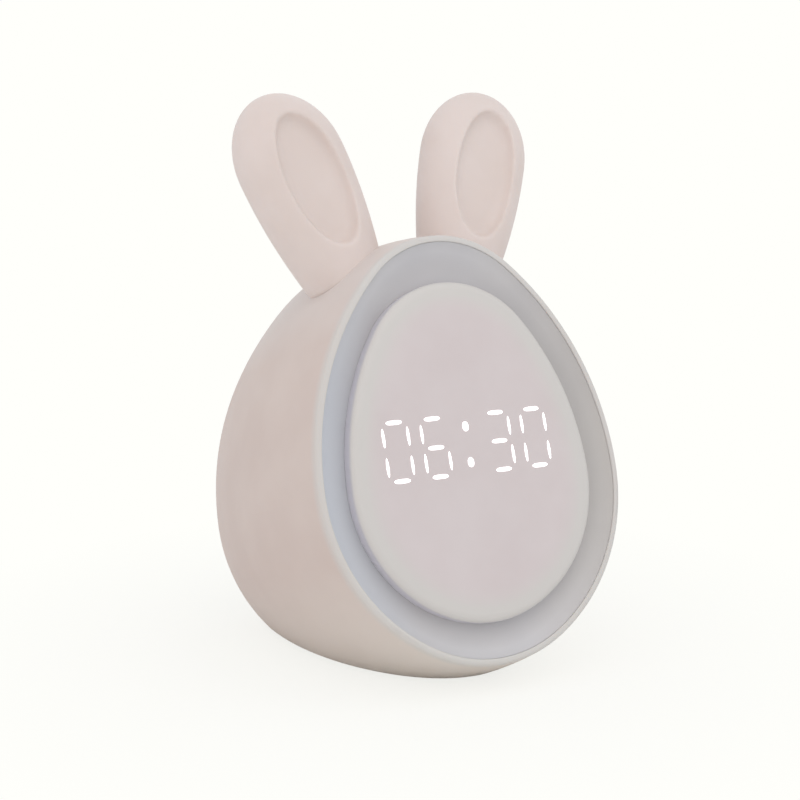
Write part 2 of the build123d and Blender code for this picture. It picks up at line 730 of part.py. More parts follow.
# ---------------------------------------------------------------- ribbon between the boards
CONNECTOR = (16.0, 4.0, 2.8)
RIBBON_WIDTH = 14.0
RIBBON_START = (DISPLAY_BOARD_DEPTH + BOARD_THICKNESS + CONNECTOR[2], -14.0)
RIBBON_END = (MAIN_BOARD_DEPTH - CONNECTOR[2], -9.0)
RIBBON_BENDS = ((27.0, -14.0), (42.0, -18.0), (62.0, -5.0), (75.0, -9.0))
RIBBON_RADIUS = 18.0
RIBBON_THICKNESS = 0.3


def make_ribbon():
    """Flat cable and the two sockets that it joins."""
    length, width, height = CONNECTOR
    for name, depth, v, amount in (
        ("display_connector", RIBBON_START[0], RIBBON_START[1], height),
        ("main_connector", MAIN_BOARD_DEPTH, RIBBON_END[1], height),
    ):
        with BuildPart() as socket:
            with BuildSketch(at_depth(depth)):
                with Locations((0, v)):
                    Rectangle(length, width)
            extrude(amount=amount)
        save(socket, name)

    side_plane = Plane(
        origin=FACE.from_local_coords(Vector(-RIBBON_WIDTH / 2, 0, 0)),
        x_dir=-FACE.z_dir,
        z_dir=(1, 0, 0),
    )
    with BuildPart() as ribbon:
        with BuildSketch(side_plane):
            with BuildLine() as route:
                FilletPolyline(RIBBON_START, *RIBBON_BENDS, RIBBON_END, radius=RIBBON_RADIUS)
            trace(route.edges(), line_width=RIBBON_THICKNESS)
        extrude(amount=RIBBON_WIDTH)
    save(ribbon, "ribbon_cable")


# ---------------------------------------------------------------- main board
BOARD_SIZE = (41.0, 34.0)
BOARD_CENTRE = (0.0, -8.0)
BOARD_CORNER = 2.0
BOARD_BACK = MAIN_BOARD_DEPTH + BOARD_THICKNESS
TACT_SIZE = 6.0
TACT_CORNER = 0.5
TACT_BACK = 91.9
PLUNGER_RADIUS = 1.76
PLUNGER_SPAN = (90.8, 93.0)
PLUNGER_STOP = PLUNGER_SPAN[0] - BUTTON_TRAVEL - 0.1
PLUNGER_GAP = 0.09
BUTTON_STEM_RADIUS = 2.2
BUTTON_FLANGE = (94.7, 95.7)
BUTTON_FLANGE_RADIUS = BUTTON_RADIUS + 1.2
BUTTON_BACK = 99.3
BUTTON_EDGE = 0.8

SLIDER_SIZE = (8.6, 4.4, 3.9)
SLIDER_FLOOR = 2.0      # thickness of the switch body under its slot
SLIDER_SLOT = (5.0, 2.4)
# length, width, front and back of the knob's stem, of its dust plate and of its grip
KNOB_STEPS = ((2.2, 1.7, 91.0, 94.6), (9.6, 5.6, 94.6, 95.5), (4.4, 3.0, 95.5, KNOB_BACK))
KNOB_EDGE = 0.5
SOCKET_SIZE = (8.94, 3.26)
SOCKET_WALL = 0.3
SOCKET_FLOOR = 1.0
TONGUE_SIZE = (6.7, 0.7, 7.0)
CHIP_EDGE = 0.2
CLOCK_CHIP = ((-11.0, 0.5), (9.9, 3.9, 1.5))    # place on the board, then its size
SOUND_CHIP = ((10.5, 0.5), (4.9, 3.9, 1.5))
CRYSTAL_PLACE = (-12.0, -16.0)
CRYSTAL_SIZE = (7.0, 2.4, 2.4)
CRYSTAL_CORNER = 1.0
CAPACITOR_PLACES = ((10.5, -9.5), (10.5, -17.0))
CAPACITOR_SIZE = (2.5, 7.0)
CAPACITOR_EDGE = 0.4


def make_chip(name, place, size):
    """Small rectangular component soldered to the front of the main board."""
    length, width, height = size
    with BuildPart() as block:
        with BuildSketch(at_depth(MAIN_BOARD_DEPTH)):
            with Locations(place):
                Rectangle(length, width)
        extrude(amount=height)
        chamfer(block.edges(), CHIP_EDGE)
    save(block, name)


def make_main_board():
    """Main board, the parts soldered to it and its screws."""
    with BuildPart() as board:
        with BuildSketch(at_depth(MAIN_BOARD_DEPTH)):
            with Locations(BOARD_CENTRE):
                RectangleRounded(*BOARD_SIZE, BOARD_CORNER)
            with Locations(both_sides(BOARD_SCREWS)):
                Circle(SCREW_CLEARANCE, mode=Mode.SUBTRACT)
        extrude(amount=-BOARD_THICKNESS)
    save(board, "main_board")
    planes = [facing_front(x, v, MAIN_BOARD_DEPTH) for x, v in both_sides(BOARD_SCREWS)]
    make_screws("main_board_screws", planes, BOARD_SCREW_LENGTH)

    make_chip("clock_chip", *CLOCK_CHIP)
    make_chip("sound_chip", *SOUND_CHIP)
    length, width, height = CRYSTAL_SIZE
    with BuildPart() as crystal:
        with BuildSketch(at_depth(MAIN_BOARD_DEPTH)):
            with Locations(CRYSTAL_PLACE):
                RectangleRounded(length, width, CRYSTAL_CORNER)
        extrude(amount=height)
    save(crystal, "crystal")
    radius, height = CAPACITOR_SIZE
    with BuildPart() as capacitors:
        with BuildSketch(at_depth(MAIN_BOARD_DEPTH)):
            with Locations(*CAPACITOR_PLACES):
                Circle(radius)
        extrude(amount=height)
        fillet(capacitors.edges().sort_by(FORWARDS)[-2:], CAPACITOR_EDGE)
    save(capacitors, "capacitors")


def make_buttons():
    """Four push buttons, each with the plunger it presses, and the switches' bodies."""
    dish_radius, dish_depth = BUTTON_DISH
    with BuildPart() as bodies:
        with BuildSketch(at_depth(BOARD_BACK)):
            with Locations([(x, BUTTON_ROW) for x in BUTTONS.values()]):
                RectangleRounded(TACT_SIZE, TACT_SIZE, TACT_CORNER)
        extrude(amount=BOARD_BACK - TACT_BACK)
        with BuildSketch(at_depth(TACT_BACK)):
            with Locations([(x, BUTTON_ROW) for x in BUTTONS.values()]):
                Circle(PLUNGER_RADIUS + PLUNGER_GAP)
        extrude(amount=TACT_BACK - PLUNGER_STOP, mode=Mode.SUBTRACT)
    save(bodies, "tact_switches")

    for name, x in BUTTONS.items():
        with BuildPart() as plunger:
            with BuildSketch(at_depth(PLUNGER_SPAN[0])):
                with Locations((x, BUTTON_ROW)):
                    Circle(PLUNGER_RADIUS)
            extrude(amount=PLUNGER_SPAN[0] - PLUNGER_SPAN[1])
        save(plunger, name.replace("button", "plunger"))
        with BuildPart() as button:
            for radius, front, back in (
                (BUTTON_STEM_RADIUS, PLUNGER_SPAN[1], BUTTON_FLANGE[0]),
                (BUTTON_FLANGE_RADIUS, *BUTTON_FLANGE),
                (BUTTON_RADIUS, BUTTON_FLANGE[1], BUTTON_BACK),
            ):
                with BuildSketch(at_depth(front)):
                    with Locations((x, BUTTON_ROW)):
                        Circle(radius)
                extrude(amount=front - back)
            fillet(button.edges().sort_by(FORWARDS)[0], BUTTON_EDGE)
            with Locations(facing_back(x, BUTTON_ROW, BUTTON_BACK + dish_radius - dish_depth)):
                Sphere(dish_radius, mode=Mode.SUBTRACT)
        save(button, name)


def make_slide_switch():
    """Power switch: its body on the board and the knob that slides sideways."""
    x, v = SWITCH_PLACE
    length, width, height = SLIDER_SIZE
    with BuildPart() as body:
        with BuildSketch(at_depth(BOARD_BACK)):
            with Locations((x, v)):
                Rectangle(length, width)
        extrude(amount=-height)
        with BuildSketch(at_depth(BOARD_BACK + SLIDER_FLOOR)):
            with Locations((x, v)):
                Rectangle(*SLIDER_SLOT)
        extrude(amount=SLIDER_FLOOR - height, mode=Mode.SUBTRACT)
    save(body, "slide_switch_body")
    groove_width, groove_depth = KNOB_GROOVE
    with BuildPart() as knob:
        for length, width, front, back in KNOB_STEPS:
            with BuildSketch(at_depth(front)):
                with Locations((x - SWITCH_TRAVEL / 2, v)):
                    Rectangle(length, width)
            extrude(amount=front - back)
        fillet(knob.faces().sort_by(FORWARDS)[0].edges(), KNOB_EDGE)
        with BuildSketch(at_depth(KNOB_BACK - groove_depth)):
            for step in (-1, 0, 1):
                with Locations((x - SWITCH_TRAVEL / 2 + step * KNOB_GROOVE_STEP, v)):
                    Rectangle(groove_width, KNOB_STEPS[-1][1])
        extrude(amount=-groove_depth, mode=Mode.SUBTRACT)
    save(knob, "slide_switch_knob")


def make_socket():
    """Charging socket: metal shell and the tongue that carries its contacts."""
    floor = BOARD_BACK + SOCKET_FLOOR
    length, height = SOCKET_SIZE
    with BuildPart() as shell:
        with BuildSketch(at_depth(BOARD_BACK)):
            with Locations(SOCKET_PLACE):
                SlotOverall(length, height)
        extrude(amount=BOARD_BACK - SOCKET_BACK)
        with BuildSketch(at_depth(floor)):
            with Locations(SOCKET_PLACE):
                SlotOverall(length - 2 * SOCKET_WALL, height - 2 * SOCKET_WALL)
        extrude(amount=floor - SOCKET_BACK, mode=Mode.SUBTRACT)
    save(shell, "usb_socket_shell")
    width, thickness, reach = TONGUE_SIZE
    with BuildPart() as tongue:
        with BuildSketch(at_depth(floor)):
            with Locations(SOCKET_PLACE):
                Rectangle(width, thickness)
        extrude(amount=-reach)
    save(tongue, "usb_socket_tongue")


# ---------------------------------------------------------------- speaker
INNER_BACK = BACK_DEPTH - WALL
SPEAKER_FRONT = INNER_BACK - 0.6
GRILLE_RINGS = ((1, 0.0), (6, 3.0), (12, 6.0), (18, 9.0))    # number of holes, ring's radius
GRILLE_HOLE = 0.8
GASKET_INNER = 12.4
MESH_RADIUS = 12.0
MESH_THICKNESS = 0.2
# half sections as (radius, distance in front of the basket's rim)
BASKET_SECTION = (
    (GASKET_INNER, 0),
    (SPEAKER_RADIUS, 0),
    (SPEAKER_RADIUS, 1.0),
    (13.2, 1.4),
    (10.2, 4.5),
    (3.0, 4.5),
    (3.0, 3.9),
    (9.8, 3.9),
    (GASKET_INNER, 1.1),
)
CONE_SECTION = (
    (0, 1.2),
    (2.6, 1.7),
    (3.4, 2.6),
    (11.4, 0.2),
    (GASKET_INNER, 0.2),
    (GASKET_INNER, 0.7),
    (11.6, 0.7),
    (3.5, 3.1),
    (2.3, 2.2),
    (0, 1.7),
)
MAGNET_RADIUS = 7.5
MAGNET_SPAN = (4.5, 9.0)


def save_turned(name, outline):
    """Node turned about the speaker's axis; outline points are (radius, forward of FRONT)."""
    centre = FACE.from_local_coords(Vector(*SPEAKER_PLACE, -SPEAKER_FRONT))
    plane = Plane(origin=centre, x_dir=(1, 0, 0), z_dir=-FACE.y_dir)
    with BuildPart() as turned:
        with BuildSketch(plane):
            with BuildLine():
                Polyline(*outline, close=True)
            make_face()
        revolve(axis=Axis(centre, FACE.z_dir))
    save(turned, name)


def save_disc(name, inner, outer, back, front):
    """Plain disc or washer of the speaker."""
    save_turned(name, ((inner, back), (outer, back), (outer, front), (inner, front)))


def make_speaker():
    """Small loudspeaker behind the grille of the rear cover."""
    seat = SPEAKER_FRONT - INNER_BACK
    save_disc("speaker_gasket", GASKET_INNER, SPEAKER_RADIUS, seat, 0)
    save_disc("speaker_mesh", 0, MESH_RADIUS, seat, seat + MESH_THICKNESS)
    save_turned("speaker_frame", BASKET_SECTION)
    save_turned("speaker_cone", CONE_SECTION)
    save_disc("speaker_magnet", 0, MAGNET_RADIUS, *MAGNET_SPAN)


# ---------------------------------------------------------------- rear cover
COLUMN_RADIUS = 3.6
POST_RADIUS = 2.6
PILOT_END = MAIN_BOARD_DEPTH + BOARD_SCREW_LENGTH + 0.4
BUTTON_HOLE = BUTTON_RADIUS + 0.1
LIP_REACH = 4.0
SLIP_GAP = 0.15         # between parts that are slipped together
LIP_THICKNESS = 1.35
LIP_ROOT = (0.6, 1.5)   # how far the lip is sunk into the cover's wall, and how deep
HEAD_WELL = HEAD_RADIUS + 0.4
SPEAKER_SEAT_WALL = 1.6
SPEAKER_SEAT_HEIGHT = 2.4
OPENING_CORNER = 0.6
# openings through the wall and the wider recesses round them: switch, then socket
OPENINGS = ((6.8, 3.4), (9.6, 3.9))
RECESSES = ((10.4, 5.6), (11.6, 5.9))
RECESS_DEPTH = 0.7


def round_holes(points, radius, front, back):
    """Round holes to be cut between two depths."""
    with BuildPart() as holes:
        with BuildSketch(at_depth(front)):
            with Locations(points):
                Circle(radius)
        extrude(amount=front - back)
    return holes.part


def make_cover_lip():
    """Thin edge of the cover that reaches into the shell and locates it."""
    sunk, root_depth = LIP_ROOT
    front = SEAM_DEPTH - LIP_REACH
    back = SEAM_DEPTH + root_depth
    outside = body_volume(-WALL - SLIP_GAP, front, SEAM_DEPTH)
    root = body_volume(-WALL + sunk, SEAM_DEPTH, back)
    inside = body_volume(-WALL - SLIP_GAP - LIP_THICKNESS, front, back)
    with BuildPart() as lip:
        add(above(outside, FLOOR_TOP + SLIP_GAP))
        add(above(root, FLOOR_TOP - sunk))
        add(inside, mode=Mode.SUBTRACT)
    return lip.part


def make_rear_cover(casing):
    """Domed cover with the flat control panel, its posts, and every opening in it."""
    lip = make_cover_lip()
    with BuildPart() as cover:
        add(casing)
        split(bisect_by=at_depth(SEAM_DEPTH), keep=Keep.BOTTOM)
        add(lip)
        with BuildSketch(at_depth(SEAM_DEPTH)):
            with Locations(both_sides(COVER_SCREWS)):
                Circle(COLUMN_RADIUS)
        extrude(amount=SEAM_DEPTH - INNER_BACK - ROOT)
        with BuildSketch(at_depth(BOARD_BACK)):
            with Locations(both_sides(BOARD_SCREWS)):
                Circle(POST_RADIUS)
        extrude(amount=BOARD_BACK - INNER_BACK - ROOT)
        with BuildSketch(at_depth(INNER_BACK - SPEAKER_SEAT_HEIGHT)):
            with Locations(SPEAKER_PLACE):
                Circle(SPEAKER_RADIUS + SPEAKER_SEAT_WALL)
                Circle(SPEAKER_RADIUS + SLIP_GAP, mode=Mode.SUBTRACT)
        extrude(amount=-SPEAKER_SEAT_HEIGHT - ROOT)
        for points, radius, front, back in (
            (both_sides(COVER_SCREWS), HEAD_WELL, COVER_SCREW_SEAT, BACK_DEPTH),
            (both_sides(COVER_SCREWS), SCREW_CLEARANCE, SEAM_DEPTH, COVER_SCREW_SEAT),
            (both_sides(BOARD_SCREWS), SCREW_PILOT, BOARD_BACK, PILOT_END),
            ([(x, BUTTON_ROW) for x in BUTTONS.values()], BUTTON_HOLE, INNER_BACK, BACK_DEPTH),
        ):
            add(round_holes(points, radius, front, back), mode=Mode.SUBTRACT)
        for count, radius in GRILLE_RINGS:
            with BuildSketch(at_depth(INNER_BACK)):
                with Locations(SPEAKER_PLACE):
                    with PolarLocations(radius, count):
                        Circle(GRILLE_HOLE)
            extrude(amount=-WALL, mode=Mode.SUBTRACT)
        for depth, (switch, socket) in ((WALL, OPENINGS), (RECESS_DEPTH, RECESSES)):
            with BuildSketch(at_depth(BACK_DEPTH - depth)):
                with Locations(SWITCH_PLACE):
                    RectangleRounded(*switch, OPENING_CORNER)
                with Locations(SOCKET_PLACE):
                    SlotOverall(*socket)
            extrude(amount=-depth, mode=Mode.SUBTRACT)
    save(cover, "rear_cover")


# ---------------------------------------------------------------- battery, touch pad, small parts
BATTERY_SIZE = (50.0, 34.0, 10.0)
BATTERY_Y = 6.0
BATTERY_SIDE_ROUNDING = 3.0
BATTERY_END_ROUNDING = 0.8
TAPE = 0.6
TAPE_INSET = 3.0
CIRCUIT_SIZE = (30.0, 1.2, 7.0)
CIRCUIT_RAISE = 1.5     # of the circuit's lower edge above the cell's underside


def make_battery():
    """Flat cell held to the floor by a strip of foam tape, with its protection circuit."""
    length, width, height = BATTERY_SIZE
    with BuildPart() as tape:
        with BuildSketch(Plane.XY.offset(FLOOR_TOP)):
            with Locations((0, BATTERY_Y)):
                Rectangle(length - 2 * TAPE_INSET, width - 2 * TAPE_INSET)
        extrude(amount=TAPE)
    save(tape, "battery_tape")
    with BuildPart() as cell:
        with BuildSketch(Plane.XY.offset(FLOOR_TOP + TAPE)):
            with Locations((0, BATTERY_Y)):
                Rectangle(length, width)
        extrude(amount=height)
        fillet(cell.edges().filter_by(Axis.Y), BATTERY_SIDE_ROUNDING)
        fillet(cell.edges().filter_by(Axis.X), BATTERY_END_ROUNDING)
    save(cell, "battery_cell")
    circuit_length, thickness, circuit_height = CIRCUIT_SIZE
    with BuildPart() as circuit:
        with BuildSketch(Plane.XY.offset(FLOOR_TOP + TAPE + CIRCUIT_RAISE)):
            with Locations((0, BATTERY_Y - width / 2 - thickness / 2)):
                Rectangle(circuit_length, thickness)
        extrude(amount=circuit_height)
    save(circuit, "battery_circuit")


TOUCH_DEPTH = 30.0
TOUCH_RADIUS = 8.0
TOUCH_THICKNESS = 0.3
TOUCH_REACH = 20.0
WASHER_RADIUS = EAR_BOSS_RADIUS - 0.6
WASHER_THICKNESS = 1.0


def make_touch_pad():
    """Foil under the crown that senses a hand laid on the clock."""
    under = FACE.from_local_coords(Vector(0, RIM_TOP - TOUCH_REACH, -TOUCH_DEPTH))
    span = (TOUCH_DEPTH - 2 * TOUCH_RADIUS, TOUCH_DEPTH + 2 * TOUCH_RADIUS)
    with BuildPart() as pad:
        add(body_volume(-WALL, *span))
        add(body_volume(-WALL - TOUCH_THICKNESS, *span), mode=Mode.SUBTRACT)
        with BuildSketch(Plane(origin=under, z_dir=FACE.y_dir)):
            Circle(TOUCH_RADIUS)
        extrude(amount=2 * TOUCH_REACH, mode=Mode.INTERSECT)
    save(pad, "touch_pad")


def make_fasteners():
    """Screws of the rear cover and of the ears, and the washers under the latter."""
    planes = [facing_back(x, v, COVER_SCREW_SEAT) for x, v in both_sides(COVER_SCREWS)]
    make_screws("rear_cover_screws", planes, COVER_SCREW_LENGTH)
    feet = [ear_plane(side, EAR_ROOT, -PEG_BACK) for side in (-1, 1)]
    with BuildPart() as washers:
        for foot in feet:
            with BuildSketch(foot):
                Circle(WASHER_RADIUS)
                Circle(SCREW_CLEARANCE, mode=Mode.SUBTRACT)
            extrude(amount=-WASHER_THICKNESS)
    save(washers, "ear_washers")
    under = [
        Plane(
            origin=foot.offset(-WASHER_THICKNESS).origin, x_dir=foot.x_dir, z_dir=-foot.z_dir
        )
        for foot in feet
    ]
    make_screws("ear_screws", under, EAR_SCREW_LENGTH)


casing_part = make_casing()
make_main_shell(casing_part)
make_rear_cover(casing_part)
make_front()
make_display()
make_ears()
make_ribbon()
make_main_board()
make_buttons()
make_slide_switch()
make_socket()
make_speaker()
make_battery()
make_touch_pad()
make_fasteners()
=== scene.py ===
from math import acos, asin, atan2, cos, degrees, pi, radians, sin, sqrt

import bpy
from mathutils import Matrix, Vector


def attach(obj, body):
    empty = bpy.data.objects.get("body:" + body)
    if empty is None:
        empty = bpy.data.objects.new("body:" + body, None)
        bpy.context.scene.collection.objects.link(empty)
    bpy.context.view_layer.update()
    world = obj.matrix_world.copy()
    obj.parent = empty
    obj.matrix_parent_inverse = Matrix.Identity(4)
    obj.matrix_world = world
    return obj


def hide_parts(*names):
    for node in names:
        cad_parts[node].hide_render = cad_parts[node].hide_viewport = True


# Looks of a bunny-eared night-light alarm clock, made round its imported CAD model.
# Sizes are written in millimetres and turned to metres by MM.

MM = 0.001

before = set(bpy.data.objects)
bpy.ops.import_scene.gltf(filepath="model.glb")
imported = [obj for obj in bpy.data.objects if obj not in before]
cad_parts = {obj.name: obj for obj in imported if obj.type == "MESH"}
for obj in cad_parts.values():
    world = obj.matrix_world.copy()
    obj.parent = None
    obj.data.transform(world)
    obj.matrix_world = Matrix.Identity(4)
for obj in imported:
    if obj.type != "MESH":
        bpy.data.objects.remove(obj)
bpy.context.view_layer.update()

HOUSING = "housing"

# ---------------------------------------------------------------- driving dimensions, mm
TILT = radians(18.5)            # lean of the whole body
FACE_UP = Vector((0, sin(TILT), cos(TILT)))
FACE_OUT = Vector((0, -cos(TILT), sin(TILT)))
FACE_MIDDLE = Vector((0, -42.0, 57.2)) * MM

RIM_SIZE = (47.3, 68.9, 51.0, 31.2, 41.2, 0.0)      # half width, top, bottom, radii, rise
PLATE_SIZE = (37.4, 56.2, 38.9, 28.5, 33.6, -0.6)

RING_OUTER = 1.76               # inset of the ring's outer edge from the rim's outline
RING_TOP = 0.5                  # depth of that edge behind the rim
RING_FLOOR = 4.2                # depth of the dish's floor
RING_TURN = 10.6                # inset at which the dish has become flat
RING_THICKNESS = 1.6
RING_SEAT = 8.5                 # depth at which the ring rests on the shell
RING_INNER = 17.5               # inset of its opening
RING_STEPS = (20, 8)            # of the dish's front and of its back

PLATE_FRONT = -1.0              # it stands a little proud of the rim
PLATE_EDGE = (2.6, 1.9)         # width and depth of the plate's rounded edge
PLATE_FALL = (7.5, 0.3)         # width and depth of the soft fall from its face to that edge
PLATE_STEPS = (14, 6)           # of the edge and of the fall
PLATE_FLAT_INSET = 24.0         # inside this line the face is one flat polygon
PLATE_RIM_BACK = 4.15           # depth of its back edge, close over the dish
PLATE_CHAMFER = 0.1
PLATE_BACK = 4.75               # depth of its pedestal's back
PEDESTAL_INSET = 2.2

DISPLAY_X = -1.0
DIGIT_CENTRES = (-21.9, -10.1, 10.1, 21.9)      # from the display's middle
DIGIT_ROW = 9.6
DIGIT_HEIGHT = 16.0
DIGIT_WIDTH = 7.6
COLON_SPACING = 10.0
SHOWN = "0630"
LIT_BARS = {"0": "abcdef", "3": "abcdg", "6": "acdefg"}
BAR_PLACES = {
    "a": (0, 0.5),
    "b": (0.5, 0.25),
    "c": (0.5, -0.25),
    "d": (0, -0.5),
    "e": (-0.5, -0.25),
    "f": (-0.5, 0.25),
    "g": (0, 0),
}
UPRIGHT_BAR = (2.6, 0.4, 1.9)   # half length, half width and bluntness of the ends
LEVEL_BAR = (2.45, 0.58, 3.6)
COLON_DOT = (1.35, 0.95, 2.4)
BAR_POINTS = 40
PIPE_BACK = 8.2                 # depth at which the light pipes meet their chips' boxes
PIPE_PROUD = 0.06               # of the plate's face

EAR_SPREAD = 20.8               # from the middle to the foot of an ear's axis
EAR_FOOT = 69.7                 # up the face
EAR_DEPTH = 23.4
EAR_SPLAY = radians(18.4)
EAR_HALF_WIDTH = 16.7
EAR_FOOT_HALF_WIDTH = 13.4
EAR_HALF_THICKNESS = 12.2
EAR_WIDEST = 29.0               # heights above the foot
EAR_LENGTH = 49.7
EAR_ROOT = -9.0
DISH = (9.2, 20.0)              # half sizes of the oval pocket: across the ear and along it
DISH_CENTRE = 21.6
DISH_FLOOR = 7.2                # in front of the ear's middle plane
DISH_ROUNDING = 3.2             # between its wall and its floor
DISH_FLARE = 1.4                # how far its wall opens towards the front
EAR_STEPS = (14, 16)            # of the stem and of the round cap
EAR_CAP_TURN = 89.0             # degrees, so that the last ring keeps a width
EAR_POINTS = 72
DISH_POINTS = 96
EAR_VOXEL = 0.6
EAR_SMOOTHING = 16              # passes that soften the dish's border

SPIN_STEP = radians(3)
SMOOTH_ANGLE = radians(35)
WELD = 0.001                    # distance at which the points of a line are merged

# ---------------------------------------------------------------- stage, m and W
STUDIO_WHITE = "fffffb"
FLOOR_SIZE = 6.0
SHADOW_FADE = (0.06, 0.16)      # distances between which the floor's shadow fades out
SHADOW_VEIL = 0.8               # share of plain white over the shadow near the clock
LAMP_TARGET = (0, 0, 0.075)
LAMPS = {                       # place, size, power, colour
    "top_lamp": ((0.1, -0.6, 1.1), 1.3, 3.3, "fff6ee"),
    "left_lamp": ((-1.1, -0.45, 0.35), 0.8, 1.3, "ffe6d6"),
}
CAMERA_PLACE = (-245.26, -452.19, 164.92)       # mm, like its target, lens and sensor
CAMERA_TARGET = (-0.12, 1.17, 72.42)
CAMERA_LENS = 79.94
CAMERA_SENSOR = 36.0


def on_face(x, v, depth):
    """Point x to the right, v up the face and depth behind the rim, all in millimetres."""
    return FACE_MIDDLE + MM * (Vector((x, 0, 0)) + v * FACE_UP - depth * FACE_OUT)


def egg_arcs(half_width, top, bottom, top_radius, bottom_radius, rise):
    """The six tangent arcs of an egg, in turn, as (centre x, centre v, sweep)."""
    up = top - top_radius
    down = bottom - bottom_radius
    upper = (half_width**2 + up**2 - top_radius**2) / (2 * (half_width - top_radius))
    lower = (half_width**2 + down**2 - bottom_radius**2) / (2 * (half_width - bottom_radius))
    up_angle = atan2(up, upper - half_width)
    low_angle = atan2(down, lower - half_width)
    return (
        (half_width - upper, rise, up_angle),
        (0, rise + up, pi - 2 * up_angle),
        (upper - half_width, rise, up_angle),
        (lower - half_width, rise, low_angle),
        (0, rise - down, pi - 2 * low_angle),
        (half_width - lower, rise, low_angle),
    )


# ---------------------------------------------------------------- modelling by operators
def deselect():
    """Object mode with nothing selected."""
    if bpy.context.mode != "OBJECT":
        bpy.ops.object.mode_set(mode="OBJECT")
    bpy.ops.object.select_all(action="DESELECT")


def edit():
    """Edit mode with the whole mesh selected."""
    bpy.ops.object.mode_set(mode="EDIT")
    bpy.ops.mesh.select_all(action="SELECT")


def done(name):
    """Back to object mode; the active object gets its name and its place in its mesh."""
    bpy.ops.object.mode_set(mode="OBJECT")
    bpy.ops.object.transform_apply(location=True, rotation=True, scale=True)
    piece = bpy.context.object
    piece.name = name
    piece.data.name = name
    return piece


def pick(piece):
    """Makes one object the selected and active one."""
    deselect()
    piece.select_set(True)
    bpy.context.view_layer.objects.active = piece


def smooth(piece):
    """Smooth shading with sharp edges kept."""
    pick(piece)
    bpy.ops.object.shade_smooth_by_angle(angle=SMOOTH_ANGLE)


def finish_modifier(piece, kind, **settings):
    """Adds a modifier with its settings and applies it."""
    pick(piece)
    modifier = piece.modifiers.new(kind.lower(), kind)
    for setting, value in settings.items():
        setattr(modifier, setting, value)
    bpy.ops.object.modifier_apply(modifier=modifier.name)


def draw_line(points, closed=True):
    """Starts a mesh from one vertex and extrudes it through the points, in edit mode."""
    deselect()
    bpy.ops.mesh.primitive_plane_add(size=MM, location=points[0])
    edit()
    bpy.ops.mesh.merge(type="CENTER")
    last = points[0]
    for point in list(points[1:]) + ([points[0]] if closed else []):
        bpy.ops.mesh.extrude_vertices_move(TRANSFORM_OT_translate={"value": point - last})
        last = point
    bpy.ops.mesh.select_all(action="SELECT")
    bpy.ops.mesh.remove_doubles(threshold=WELD * MM)


def carry_section(size, section, closed=True):
    """Carries a section, as (outwards, depth) from an egg's edge, round it, in edit mode."""
    half_width, rise = size[0], size[5]
    draw_line([on_face(half_width + out, rise, depth) for out, depth in section], closed)
    for x, v, sweep in egg_arcs(*size):
        bpy.ops.mesh.spin(
            steps=max(4, round(sweep / SPIN_STEP)),
            angle=-sweep,
            center=on_face(x, v, 0),
            axis=FACE_OUT,
        )
    bpy.ops.mesh.select_all(action="SELECT")
    bpy.ops.mesh.remove_doubles(threshold=2 * WELD * MM)
    bpy.ops.mesh.normals_make_consistent(inside=False)


def stack_rings(points, rings):
    """Solid that rises through ellipses, each as (half width, half depth, height)."""
    deselect()
    bpy.ops.mesh.primitive_circle_add(vertices=points, radius=MM, fill_type="NGON")
    edit()
    width, depth, height = rings[0]
    bpy.ops.transform.resize(value=(width, depth, 1), center_override=(0, 0, 0))
    bpy.ops.transform.translate(value=(0, 0, height * MM))
    for new_width, new_depth, new_height in rings[1:]:
        bpy.ops.mesh.extrude_region_move(
            TRANSFORM_OT_translate={"value": (0, 0, (new_height - height) * MM)}
        )
        scale = (new_width / width, new_depth / depth, 1)
        bpy.ops.transform.resize(value=scale, center_override=(0, 0, new_height * MM))
        width, depth, height = new_width, new_depth, new_height
    bpy.ops.mesh.select_all(action="SELECT")
    bpy.ops.mesh.normals_make_consistent(inside=False)
    bpy.ops.object.mode_set(mode="OBJECT")
    return bpy.context.object


def bend(centre, radius, start, end, steps):
    """Points of an arc in a section; 0 degrees is outwards and 90 degrees is forwards."""
    angles = [radians(start + (end - start) * i / steps) for i in range(steps + 1)]
    return [(centre[0] + radius * cos(a), centre[1] - radius * sin(a)) for a in angles]


def cut_away(piece, cutter):
    """Takes the cutter's volume from the piece and deletes the cutter."""
    finish_modifier(piece, "BOOLEAN", operation="DIFFERENCE", object=cutter, solver="EXACT")
    bpy.data.objects.remove(cutter)


# ---------------------------------------------------------------- front
def make_light_band():
    """Dished ring that starts steeply at the rim and runs level under the digit plate."""
    width = RING_TURN - RING_OUTER
    drop = RING_FLOOR - RING_TOP
    radius = (width**2 + drop**2) / (2 * drop)
    back = radius + RING_THICKNESS
    steep = degrees(asin((radius - drop) / radius))
    foot = degrees(acos((width - RING_THICKNESS) / back))
    centre = (-RING_TURN, RING_FLOOR - radius)
    front_steps, back_steps = RING_STEPS
    section = bend(centre, radius, -steep, -90, front_steps)
    section += [(-RING_INNER, RING_FLOOR), (-RING_INNER, RING_FLOOR + RING_THICKNESS)]
    section += bend(centre, back, -90, -foot, back_steps)
    section += [(-RING_OUTER - RING_THICKNESS, RING_SEAT), (-RING_OUTER, RING_SEAT)]
    carry_section(RIM_SIZE, section)
    return done("light_band")


